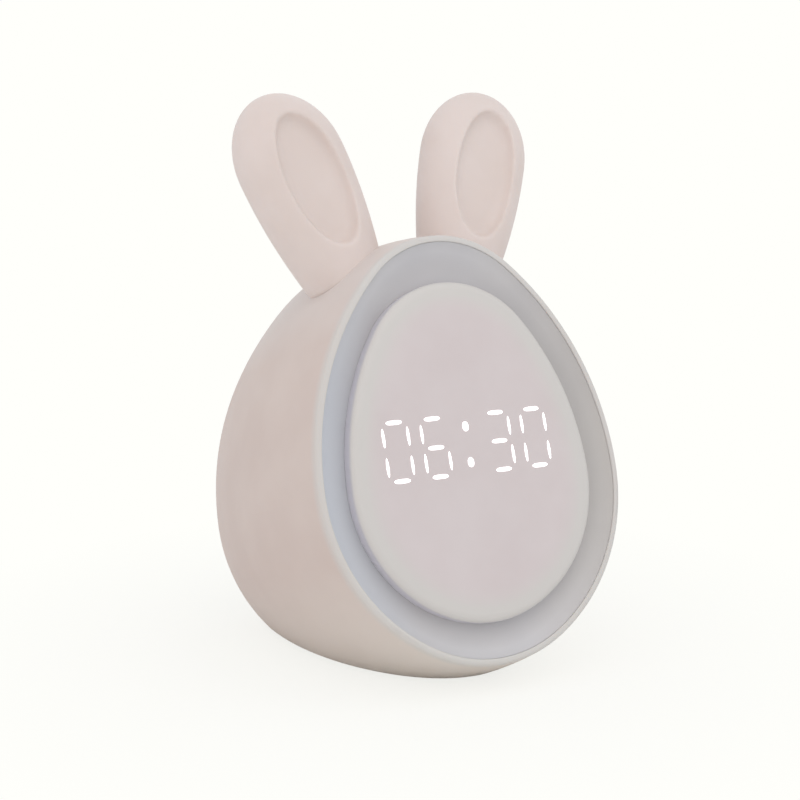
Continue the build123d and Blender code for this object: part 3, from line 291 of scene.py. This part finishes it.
def make_digit_plate():
    """Egg-shaped plate with a softly rounded edge that stands over the dish on a pedestal."""
    across, deep = PLATE_EDGE
    wide, drop = PLATE_FALL
    edge_steps, fall_steps = PLATE_STEPS
    section = [(-PEDESTAL_INSET, PLATE_BACK), (-PEDESTAL_INSET, PLATE_RIM_BACK)]
    section += [(-PLATE_CHAMFER, PLATE_RIM_BACK), (0, PLATE_RIM_BACK - PLATE_CHAMFER)]
    for i in range(edge_steps + 1):
        turn = radians(90 * i / edge_steps)
        depth = PLATE_FRONT + drop + (deep - drop) * (1 - sin(turn))
        section.append((across * (cos(turn) - 1), depth))
    for i in range(1, fall_steps + 1):
        share = i / fall_steps
        section.append((-across - wide * share, PLATE_FRONT + drop * (1 - share) ** 2))
    section.append((-PLATE_FLAT_INSET, PLATE_FRONT))
    carry_section(PLATE_SIZE, section, closed=False)
    bpy.ops.mesh.fill_holes(sides=0)
    bpy.ops.mesh.normals_make_consistent(inside=False)
    return done("digit_plate")


# ---------------------------------------------------------------- digits
def make_bar(half_length, half_width, bluntness):
    """Light pipe of one bar about the origin: x along it, y across it, z through the plate."""
    thickness = PIPE_BACK - PLATE_FRONT + PIPE_PROUD
    outline = []
    for i in range(BAR_POINTS):
        turn = 2 * pi * i / BAR_POINTS
        along = sin(turn)
        body = (1 - abs(along) ** bluntness) ** 0.5
        across = body if cos(turn) > 0 else -body
        outline.append(Vector((along * half_length, across * half_width, -thickness / 2)) * MM)
    draw_line(outline)
    bpy.ops.mesh.edge_face_add()
    bpy.ops.mesh.extrude_region_move(TRANSFORM_OT_translate={"value": (0, 0, thickness * MM)})
    bpy.ops.mesh.select_all(action="SELECT")
    bpy.ops.mesh.normals_make_consistent(inside=False)
    return done("bar")


def copy_bar(bar, x, v, upright):
    """Copy of a bar in the plate, its length across the face or up it."""
    middle = on_face(x, v, (PIPE_BACK + PLATE_FRONT - PIPE_PROUD) / 2)
    along = FACE_UP if upright else Vector((1, 0, 0))
    turn = Matrix((along, FACE_OUT.cross(along), FACE_OUT)).transposed()
    pick(bar)
    bpy.ops.object.duplicate()
    bpy.context.object.matrix_world = Matrix.Translation(middle) @ turn.to_4x4()
    bpy.ops.object.transform_apply(location=True, rotation=True, scale=True)
    return bpy.context.object


def make_digits():
    """The lit bars of 06:30 and the colon's two dots, joined in one piece."""
    models = {True: make_bar(*UPRIGHT_BAR), False: make_bar(*LEVEL_BAR)}
    dot = make_bar(*COLON_DOT)
    bars = []
    for x, shown in zip(DIGIT_CENTRES, SHOWN):
        for bar in LIT_BARS[shown]:
            across, up = BAR_PLACES[bar]
            upright = across != 0
            middle = DISPLAY_X + x + across * DIGIT_WIDTH
            height = DIGIT_ROW + up * DIGIT_HEIGHT
            bars.append(copy_bar(models[upright], middle, height, upright))
    for up in (-0.5, 0.5):
        bars.append(copy_bar(dot, DISPLAY_X, DIGIT_ROW + up * COLON_SPACING, True))
    for model in (*models.values(), dot):
        bpy.data.objects.remove(model)
    pick(bars[0])
    for bar in bars:
        bar.select_set(True)
    bpy.ops.object.join()
    return done("lit_digits")


# ---------------------------------------------------------------- ears
def ear_frame(side, along=0.0, forward=0.0):
    """Frame of an ear: x across it, y backwards and z up its axis; the moves are in mm."""
    up = (Vector((side * sin(EAR_SPLAY), 0, 0)) + cos(EAR_SPLAY) * FACE_UP).normalized()
    across = up.cross(FACE_OUT)
    origin = on_face(side * EAR_SPREAD, EAR_FOOT, EAR_DEPTH - forward) + along * MM * up
    turn = Matrix((across, -FACE_OUT, up)).transposed()
    return Matrix.Translation(origin) @ turn.to_4x4()


def ear_size(along):
    """Half width and half thickness of the ear at a height above its foot."""
    if along < EAR_WIDEST:
        narrowing = (EAR_HALF_WIDTH - EAR_FOOT_HALF_WIDTH) / EAR_WIDEST**2
        return EAR_HALF_WIDTH - narrowing * (EAR_WIDEST - along) ** 2, EAR_HALF_THICKNESS
    share = sqrt(max(0.0, 1 - ((along - EAR_WIDEST) / (EAR_LENGTH - EAR_WIDEST)) ** 2))
    return EAR_HALF_WIDTH * share, EAR_HALF_THICKNESS * share


def make_pocket(side):
    """Oval plug of an ear's dish: a flat floor, a rounded foot and a wall that opens forwards."""
    across, along = DISH
    rings = []
    for angle in range(0, 91, 10):
        out = DISH_ROUNDING * (sin(radians(angle)) - 1)
        height = DISH_ROUNDING * (1 - cos(radians(angle)))
        rings.append((across + out, along + out, height))
    top = EAR_HALF_THICKNESS - DISH_FLOOR + 1       # 1 mm in front of the ear
    rings.append((across + DISH_FLARE, along + DISH_FLARE, top))
    plug = stack_rings(DISH_POINTS, rings)
    forwards = Matrix.Rotation(pi / 2, 4, "X")
    plug.matrix_world = ear_frame(side, DISH_CENTRE, DISH_FLOOR) @ forwards
    bpy.ops.object.transform_apply(location=True, rotation=True, scale=True)
    return plug


def make_ear(side, name):
    """Plump ear with a soft-edged dish in front."""
    stem_steps, cap_steps = EAR_STEPS
    stem = EAR_WIDEST - EAR_ROOT
    cap = EAR_LENGTH - EAR_WIDEST
    heights = [EAR_ROOT + stem * i / stem_steps for i in range(stem_steps + 1)]
    for i in range(1, cap_steps + 1):
        heights.append(EAR_WIDEST + cap * sin(radians(EAR_CAP_TURN * i / cap_steps)))
    ear = stack_rings(EAR_POINTS, [(*ear_size(height), height) for height in heights])
    ear.matrix_world = ear_frame(side)
    ear = done(name)
    cut_away(ear, make_pocket(side))
    finish_modifier(ear, "REMESH", mode="VOXEL", voxel_size=EAR_VOXEL * MM)
    finish_modifier(ear, "SMOOTH", factor=0.5, iterations=EAR_SMOOTHING)
    return ear


# ---------------------------------------------------------------- materials
def linear(hex_colour):
    """Linear RGBA of an sRGB colour written as hex."""
    values = [int(hex_colour[i : i + 2], 16) / 255 for i in (0, 2, 4)]
    return (*[c / 12.92 if c <= 0.04045 else ((c + 0.055) / 1.055) ** 2.4 for c in values], 1)


TEXTURE = "ShaderNodeTex"
# how far a texture's pattern repeats at a scale of 1, in metres
UNIT = {"Noise": 1.0, "Voronoi": 1.0, "Wave": 0.314, "Checker": 1.0}
SOFT = {"Detail": 3.0, "Roughness": 0.55}
FINE = {"Detail": 4.0, "Roughness": 0.6}
MILKY = {"Subsurface_Radius": (1.0, 0.78, 0.62), "Subsurface_Scale": 1.5 * MM}


def add_node(tree, kind, settings=None, links=None):
    """Adds a shader node, sets its properties or input values, and links its inputs."""
    node = tree.nodes.new(kind)
    for key, value in (settings or {}).items():
        if isinstance(key, str) and hasattr(node, key):
            setattr(node, key, value)
        else:
            node.inputs[key].default_value = value
    for key, source in (links or {}).items():
        tree.links.new(source, node.inputs[key])
    return node


def new_material(name, **shader):
    """Material with one Principled shader whose sockets are set.

    Its patterns lie in the face's frame: x to the right, y backwards from the rim, z up.
    """
    material = bpy.data.materials.new(name)
    material.use_nodes = True
    tree = material.node_tree
    tree.nodes.clear()
    sockets = {socket.replace("_", " "): value for socket, value in shader.items()}
    surface = add_node(tree, "ShaderNodeBsdfPrincipled", sockets)
    add_node(tree, "ShaderNodeOutputMaterial", links={"Surface": surface.outputs[0]})
    spot = add_node(tree, "ShaderNodeTexCoord").outputs["Object"]
    turn = Matrix.Rotation(TILT, 3, "X")
    face = add_node(
        tree,
        "ShaderNodeMapping",
        {"Rotation": (TILT, 0, 0), "Location": -(turn @ FACE_MIDDLE)},
        {"Vector": spot},
    )
    return material, tree, surface, face.outputs["Vector"]


def add_texture(tree, face, kind, size, settings):
    """First output of a texture whose pattern repeats over a size in mm."""
    values = {"Scale": UNIT[kind] / (size * MM), **settings}
    return add_node(tree, TEXTURE + kind, values, {"Vector": face}).outputs[0]


def finish(name, colours, pattern, relief, **shader):
    """Material whose colours follow one texture and whose relief follows another.

    colours are two hex colours and the texture values at which they are reached; pattern is
    (texture, size in mm, settings) and relief is the same with its height in mm at the end.
    """
    material, tree, surface, face = new_material(name, **shader)
    first, second, low, high = colours
    laid = add_texture(tree, face, *pattern)
    tone = add_node(tree, "ShaderNodeValToRGB", links={"Fac": laid})
    for stop, place, colour in zip(tone.color_ramp.elements, (low, high), (first, second)):
        stop.position = place
        stop.color = linear(colour)
    tree.links.new(tone.outputs["Color"], surface.inputs["Base Color"])
    *pattern, height = relief
    grain = add_texture(tree, face, *pattern)
    bump = add_node(
        tree, "ShaderNodeBump", {"Strength": 1.0, "Distance": height * MM}, {"Height": grain}
    )
    tree.links.new(bump.outputs["Normal"], surface.inputs["Normal"])
    return material


def tint(material, axis, low, high, colour, amount):
    """Blends a second colour in from one place to another, in mm along an axis of the face; here it
    paints light and shade.

    X runs to the right from the middle, Y backwards from the rim and Z up the face.
    """
    tree = material.node_tree
    surface = next(n for n in tree.nodes if n.type == "BSDF_PRINCIPLED")
    face = next(n for n in tree.nodes if n.type == "MAPPING").outputs["Vector"]
    laid = surface.inputs["Base Color"].links[0].from_socket
    parts = add_node(tree, "ShaderNodeSeparateXYZ", links={"Vector": face})
    share = add_node(
        tree,
        "ShaderNodeMapRange",
        {"From Min": low * MM, "From Max": high * MM, "To Min": 0.0, "To Max": amount},
        {"Value": parts.outputs[axis]},
    )
    # a colour mix takes its share at 0 and its colours at 6 and 7, and gives its result at 2
    blend = add_node(
        tree,
        "ShaderNodeMix",
        {"data_type": "RGBA", 7: linear(colour)},
        {0: share.outputs["Result"], 6: laid},
    )
    tree.links.new(blend.outputs[2], surface.inputs["Base Color"])


MATERIALS = {
    # Milky ABS moulded in a spark-eroded tool: warm off-white, matt, no clear reflections.
    "body_abs": finish(
        "body_abs", ("d0c0b7", "d4c5bc", 0.36, 0.64),
        ("Noise", 26, SOFT), ("Noise", 0.5, FINE, 0.012),
        Roughness=0.55, IOR=1.53, Specular_IOR_Level=0.25, Subsurface_Weight=0.12, **MILKY,
    ),
    # The same plastic, a little lighter.
    "ear_abs": finish(
        "ear_abs", ("ddcfc7", "e1d4cd", 0.36, 0.64),
        ("Noise", 20, SOFT), ("Noise", 0.5, FINE, 0.012),
        Roughness=0.55, IOR=1.53, Specular_IOR_Level=0.25, Subsurface_Weight=0.15, **MILKY,
    ),
    # Frosted polycarbonate with light-scattering filler: unlit, a cool light grey, written darker
    # than the shell partly as painted shade of its recessed dish.
    "ring_polycarbonate": finish(
        "ring_polycarbonate", ("c6c4c5", "cbc9c9", 0.36, 0.64),
        ("Noise", 30, SOFT), ("Noise", 0.4, FINE, 0.008),
        Roughness=0.42, IOR=1.58, Subsurface_Weight=0.1,
        Subsurface_Radius=(0.9, 0.9, 1.0), Subsurface_Scale=1.2 * MM,
    ),
    # Frosted acrylic with a little white filler: a calm, faintly pink grey.
    "plate_acrylic": finish(
        "plate_acrylic", ("d0c5c3", "d3c9c7", 0.36, 0.64),
        ("Noise", 24, SOFT), ("Noise", 0.4, FINE, 0.006),
        Roughness=0.4, IOR=1.49, Subsurface_Weight=0.12,
        Subsurface_Radius=(1.0, 0.88, 0.82), Subsurface_Scale=1.5 * MM,
    ),
    # Silicone rubber, compression moulded: dull, faintly dusty, slightly translucent.
    "pad_silicone": finish(
        "pad_silicone", ("c3bdb8", "cdc8c3", 0.35, 0.65),
        ("Noise", 6, SOFT), ("Noise", 0.6, FINE, 0.03),
        Roughness=0.72, IOR=1.42, Subsurface_Weight=0.1, **MILKY,
    ),
    # Clear acrylic light pipe with its chip dark: grey like the plate in front of it.
    "dark_pipe": finish(
        "dark_pipe", ("b9b2b1", "c3bcbb", 0.35, 0.65),
        ("Noise", 2, SOFT), ("Noise", 0.3, FINE, 0.004), Roughness=0.3, IOR=1.49,
    ),
    # White-filled polycarbonate, matt so that it spreads the chips' light.
    "reflector_white": finish(
        "reflector_white", ("e4e3df", "eeedea", 0.35, 0.65),
        ("Noise", 8, SOFT), ("Noise", 0.4, FINE, 0.01), Roughness=0.6, IOR=1.58,
    ),
    # Phosphor-filled silicone over the chip: granular yellow.
    "phosphor_resin": finish(
        "phosphor_resin", ("e6d27a", "f0e7b8", 0.3, 0.7),
        ("Voronoi", 0.25, {}), ("Noise", 0.2, FINE, 0.01), Roughness=0.35, IOR=1.41,
    ),
    # Glass-epoxy laminate under green solder mask; the traces show as paler raised lines.
    "board_laminate": finish(
        "board_laminate", ("2f6b4a", "3d7d59", 0.42, 0.58),
        ("Wave", 1.6, {"Distortion": 2.0, "Detail": 1.0}), ("Wave", 1.6, {"Distortion": 2.0}, 0.03),
        Roughness=0.32, IOR=1.55,
    ),
    # Steel screws, zinc plated and clear passivated: bright with a fine milky bloom.
    "zinc_steel": finish(
        "zinc_steel", ("a9abac", "c6c8c8", 0.35, 0.65),
        ("Noise", 0.7, FINE), ("Noise", 0.25, FINE, 0.008), Roughness=0.34, Metallic=1.0,
    ),
    # Heat-resistant nylon of board connectors: ivory.
    "ivory_nylon": finish(
        "ivory_nylon", ("ddd6c0", "e7e1cf", 0.35, 0.65),
        ("Noise", 3, SOFT), ("Noise", 0.4, FINE, 0.015), Roughness=0.5, IOR=1.53,
    ),
    # Polyester film with tinned conductors at 1 mm pitch.
    "cable_film": finish(
        "cable_film", ("eceded", "a9adb2", 0.45, 0.55),
        ("Wave", 1.0, {"bands_direction": "X"}), ("Wave", 1.0, {"bands_direction": "X"}, 0.03),
        Roughness=0.28, IOR=1.6,
    ),
    # Transfer-moulded epoxy of the chips: charcoal with a fine stipple.
    "chip_epoxy": finish(
        "chip_epoxy", ("1d1d1f", "29292b", 0.35, 0.65),
        ("Noise", 0.8, FINE), ("Voronoi", 0.15, {}, 0.01), Roughness=0.55, IOR=1.55,
    ),
    # Deep-drawn aluminium cans: satin, with streaks along the draw.
    "drawn_aluminium": finish(
        "drawn_aluminium", ("b7b9bb", "cdced0", 0.3, 0.7),
        ("Wave", 0.3, {"bands_direction": "Z", "Distortion": 3.0}), ("Noise", 0.3, FINE, 0.006),
        Roughness=0.3, Metallic=1.0,
    ),
    # ABS of the push buttons: cooler and a little darker than the cover round them.
    "button_abs": finish(
        "button_abs", ("c5bfbd", "cdc8c6", 0.36, 0.64),
        ("Noise", 5, SOFT), ("Noise", 0.35, FINE, 0.008), Roughness=0.38, IOR=1.53,
    ),
    # Glass-filled black nylon of the switch bodies: dull, with short pale fibres.
    "black_nylon": finish(
        "black_nylon", ("19191a", "2b2b2c", 0.45, 0.75),
        ("Noise", 0.5, {"Detail": 5.0, "Distortion": 1.5}), ("Noise", 0.3, FINE, 0.015),
        Roughness=0.5, IOR=1.53,
    ),
    # Acetal slider knob: smooth, waxy dark grey.
    "knob_acetal": finish(
        "knob_acetal", ("4a4a4c", "565658", 0.35, 0.65),
        ("Noise", 2, SOFT), ("Noise", 0.3, FINE, 0.006), Roughness=0.36, IOR=1.48,
    ),
    # Stainless steel shell of the socket, rolled: faint lines across it.
    "socket_steel": finish(
        "socket_steel", ("a3a5a7", "bcbec0", 0.3, 0.7),
        ("Wave", 0.25, {"bands_direction": "Z", "Distortion": 2.0}), ("Noise", 0.2, FINE, 0.004),
        Roughness=0.27, Metallic=1.0,
    ),
    # Black liquid-crystal polymer of the tongue with gold contacts at 0.5 mm pitch.
    "tongue_contacts": finish(
        "tongue_contacts", ("141415", "c9a24e", 0.45, 0.55),
        ("Wave", 0.5, {"bands_direction": "X"}), ("Wave", 0.5, {"bands_direction": "X"}, 0.02),
        Roughness=0.35, IOR=1.6,
    ),
    # Pressed steel basket of the loudspeaker, painted black.
    "speaker_steel": finish(
        "speaker_steel", ("232425", "313233", 0.35, 0.65),
        ("Noise", 1.0, FINE), ("Noise", 0.35, FINE, 0.012), Roughness=0.42, IOR=1.5,
    ),
    # Polyester film of the cone: amber grey, with fine cockles.
    "cone_film": finish(
        "cone_film", ("8d8478", "a0988c", 0.35, 0.65),
        ("Noise", 2.5, SOFT), ("Noise", 1.2, SOFT, 0.05), Roughness=0.25, IOR=1.6,
    ),
    # Sintered ferrite: charcoal with a sandy surface.
    "ferrite": finish(
        "ferrite", ("2a2a2c", "3d3d3f", 0.35, 0.65),
        ("Voronoi", 0.35, {}), ("Noise", 0.25, FINE, 0.03), Roughness=0.62, IOR=1.5,
    ),
    # Closed-cell foam: small round cells at the cut faces.
    "cell_foam": finish(
        "cell_foam", ("2b2b2c", "414142", 0.2, 0.6),
        ("Voronoi", 0.5, {}), ("Voronoi", 0.5, {}, 0.08), Roughness=0.9, IOR=1.3,
    ),
    # Woven polyester behind the grille, threads at 0.5 mm so that the weave shows.
    "grille_weave": finish(
        "grille_weave", ("121213", "3a3a3c", 0.3, 0.7),
        ("Checker", 0.5, {"Color1": (1, 1, 1, 1), "Color2": (0, 0, 0, 1)}),
        ("Wave", 0.5, {"bands_direction": "Z"}, 0.08), Roughness=0.8, IOR=1.5,
    ),
    # Aluminium laminate of the pouch cell: silver grey with soft creases.
    "pouch_foil": finish(
        "pouch_foil", ("b3b6ba", "c7cacd", 0.35, 0.65),
        ("Noise", 9, SOFT), ("Noise", 4, SOFT, 0.12), Roughness=0.32, Metallic=0.85,
    ),
    # Rolled copper foil of the touch pad.
    "copper_foil": finish(
        "copper_foil", ("b9714c", "cf8a63", 0.3, 0.7),
        ("Wave", 0.4, {"bands_direction": "Y", "Distortion": 2.0}), ("Noise", 1.5, SOFT, 0.02),
        Roughness=0.33, Metallic=1.0,
    ),
    # Clear acrylic light pipe over a burning chip: white light, a trace duller in patches.
    "lit_pipe": finish(
        "lit_pipe", ("f2f2f0", "ffffff", 0.35, 0.65),
        ("Noise", 2, SOFT), ("Noise", 0.3, FINE, 0.004), Roughness=0.35, IOR=1.49,
        Emission_Color=linear("ffffff"), Emission_Strength=1.1,
    ),
}

# painted light and shade, as material, axis of the face, from and to in mm, colour and share of it
PAINTED_LIGHT_TINTS = (
    # Painted light on the shell: a paler, less warm top light at the crown, a paler light bounced
    # from the floor towards the foot, and a painted highlight round the crest of its lip.
    ("body_abs", "Z", 42, 60, "dcd6d2", 0.5),
    ("body_abs", "Z", -18, -48, "ddd5cb", 0.9),
    ("body_abs", "Y", 3.0, 0.3, "cfcdc8", 0.8),
    # Painted light on the ring: painted shade, duller in its depth by the plate, a cool painted
    # light at the left and a warm, darker painted shade at the right.
    ("ring_polycarbonate", "Y", 2.4, 4.15, "b2aead", 0.45),
    ("ring_polycarbonate", "X", -22, -44, "c9cfd6", 0.6),
    ("ring_polycarbonate", "X", 10, 46, "b6aea1", 0.5),
    # Where the plate falls to its edge it is less pink and a touch paler, a painted highlight, and
    # its side wall is bluish, a painted cool shade.
    ("plate_acrylic", "Y", PLATE_FRONT, PLATE_FRONT + 0.22, "cfccc6", 0.85),
    ("plate_acrylic", "Y", 0.1, 1.4, "cdcad3", 0.8),
)
for material, *blend in PAINTED_LIGHT_TINTS:
    tint(MATERIALS[material], *blend)

NODE_FINISHES = {
    "body_abs": ["main_shell", "rear_cover"],
    "ring_polycarbonate": ["light_ring"],
    "plate_acrylic": ["display_plate"],
    "lit_pipe": ["lit_segments"],
    "ear_abs": ["left_ear_front", "left_ear_back", "right_ear_front", "right_ear_back"],
    "pad_silicone": ["base_pad"],
    "dark_pipe": ["unlit_segments"],
    "reflector_white": ["segment_reflector"],
    "phosphor_resin": ["segment_leds", "night_light_leds"],
    "board_laminate": ["display_board", "main_board", "battery_circuit"],
    "zinc_steel": [
        "display_board_screws", "main_board_screws", "rear_cover_screws",
        "ear_screws", "ear_washers",
    ],
    "ivory_nylon": ["display_connector", "main_connector"],
    "cable_film": ["ribbon_cable"],
    "chip_epoxy": ["clock_chip", "sound_chip"],
    "drawn_aluminium": ["crystal", "capacitors"],
    "button_abs": ["mode_button", "hour_button", "minute_button", "light_button"],
    "black_nylon": [
        "tact_switches", "slide_switch_body",
        "mode_plunger", "hour_plunger", "minute_plunger", "light_plunger",
    ],
    "knob_acetal": ["slide_switch_knob"],
    "socket_steel": ["usb_socket_shell"],
    "tongue_contacts": ["usb_socket_tongue"],
    "speaker_steel": ["speaker_frame"],
    "cone_film": ["speaker_cone"],
    "ferrite": ["speaker_magnet"],
    "cell_foam": ["speaker_gasket", "battery_tape"],
    "grille_weave": ["speaker_mesh"],
    "pouch_foil": ["battery_cell"],
    "copper_foil": ["touch_pad"],
}


def dress(piece, material):
    """Gives a piece or a CAD node its material."""
    piece.data.materials.clear()
    piece.data.materials.append(MATERIALS[material])


# ---------------------------------------------------------------- assembly
def place_piece(piece, nodes, material):
    """Puts a new piece on the housing in the place of its CAD nodes."""
    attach(piece, HOUSING)
    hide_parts(*nodes)
    dress(piece, material)
    smooth(piece)


place_piece(make_light_band(), ["light_ring"], "ring_polycarbonate")
place_piece(make_digit_plate(), ["display_plate"], "plate_acrylic")
place_piece(make_digits(), ["lit_segments"], "lit_pipe")
for side, ear in ((-1, "left_ear"), (1, "right_ear")):
    place_piece(make_ear(side, ear), [f"{ear}_front", f"{ear}_back"], "ear_abs")

for material, nodes in NODE_FINISHES.items():
    for node in nodes:
        dress(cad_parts[node], material)
        smooth(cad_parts[node])


# ---------------------------------------------------------------- stage
def mix(tree, share, first, second):
    """Shader between two nodes, by the share of the second."""
    links = {0: share.outputs[0], 1: first.outputs[0], 2: second.outputs[0]}
    return add_node(tree, "ShaderNodeMixShader", links=links).outputs[0]


def make_floor():
    """Pale floor that keeps the clock's soft shadow and fades to white away from it."""
    deselect()
    bpy.ops.mesh.primitive_plane_add(size=FLOOR_SIZE, location=(0, 0, 0))
    floor = bpy.context.object
    floor.name = "floor"
    material = bpy.data.materials.new("studio_floor")
    material.use_nodes = True
    tree = material.node_tree
    tree.nodes.clear()
    matt = add_node(tree, "ShaderNodeBsdfDiffuse", {"Color": linear("f4f3f0")})
    white = add_node(tree, "ShaderNodeEmission", {"Color": linear(STUDIO_WHITE), "Strength": 1.0})
    rays = add_node(tree, "ShaderNodeLightPath")
    spot = add_node(tree, "ShaderNodeTexCoord").outputs["Object"]
    away = add_node(tree, "ShaderNodeVectorMath", {"operation": "LENGTH"}, {0: spot})
    near, far = SHADOW_FADE
    fade = add_node(
        tree,
        "ShaderNodeMapRange",
        {"From Min": near, "From Max": far, "To Min": SHADOW_VEIL, "To Max": 1.0},
        {"Value": away.outputs["Value"]},
    )
    share = add_node(
        tree,
        "ShaderNodeMath",
        {"operation": "MULTIPLY"},
        {0: rays.outputs["Is Camera Ray"], 1: fade.outputs["Result"]},
    )
    add_node(tree, "ShaderNodeOutputMaterial", links={"Surface": mix(tree, share, matt, white)})
    floor.data.materials.append(material)


def make_world():
    """White to the camera and in reflections, a cooler and dimmer light to everything else."""
    world = bpy.data.worlds.new("studio")
    bpy.context.scene.world = world
    world.use_nodes = True
    tree = world.node_tree
    tree.nodes.clear()
    rays = add_node(tree, "ShaderNodeLightPath")
    seen = add_node(
        tree,
        "ShaderNodeMath",
        {"operation": "MAXIMUM"},
        {0: rays.outputs["Is Camera Ray"], 1: rays.outputs["Is Glossy Ray"]},
    )
    soft = add_node(tree, "ShaderNodeBackground", {"Color": linear("eff3fa"), "Strength": 0.92})
    white = add_node(
        tree, "ShaderNodeBackground", {"Color": linear(STUDIO_WHITE), "Strength": 1.0}
    )
    add_node(tree, "ShaderNodeOutputWorld", links={"Surface": mix(tree, seen, soft, white)})


def add_lamp(name, place, size, power, colour):
    """Square soft lamp that faces the middle of the clock."""
    bpy.ops.object.light_add(type="AREA", location=place)
    lamp = bpy.context.object
    lamp.name = name
    lamp.data.size = size
    lamp.data.energy = power
    lamp.data.color = linear(colour)[:3]
    aim = Vector(LAMP_TARGET) - Vector(place)
    lamp.rotation_euler = aim.to_track_quat("-Z", "Y").to_euler()


def add_camera():
    """Camera in front of the clock, a little to its left and above it."""
    place = Vector(CAMERA_PLACE) * MM
    target = Vector(CAMERA_TARGET) * MM
    bpy.ops.object.camera_add(location=place)
    camera = bpy.context.object
    camera.rotation_euler = (target - place).to_track_quat("-Z", "Y").to_euler()
    camera.data.sensor_width = CAMERA_SENSOR
    camera.data.lens = CAMERA_LENS
    camera.data.clip_end = 20.0
    bpy.context.scene.camera = camera


make_floor()
make_world()
for lamp, light in LAMPS.items():
    add_lamp(lamp, *light)
add_camera()
bpy.context.scene.view_settings.view_transform = "Standard"
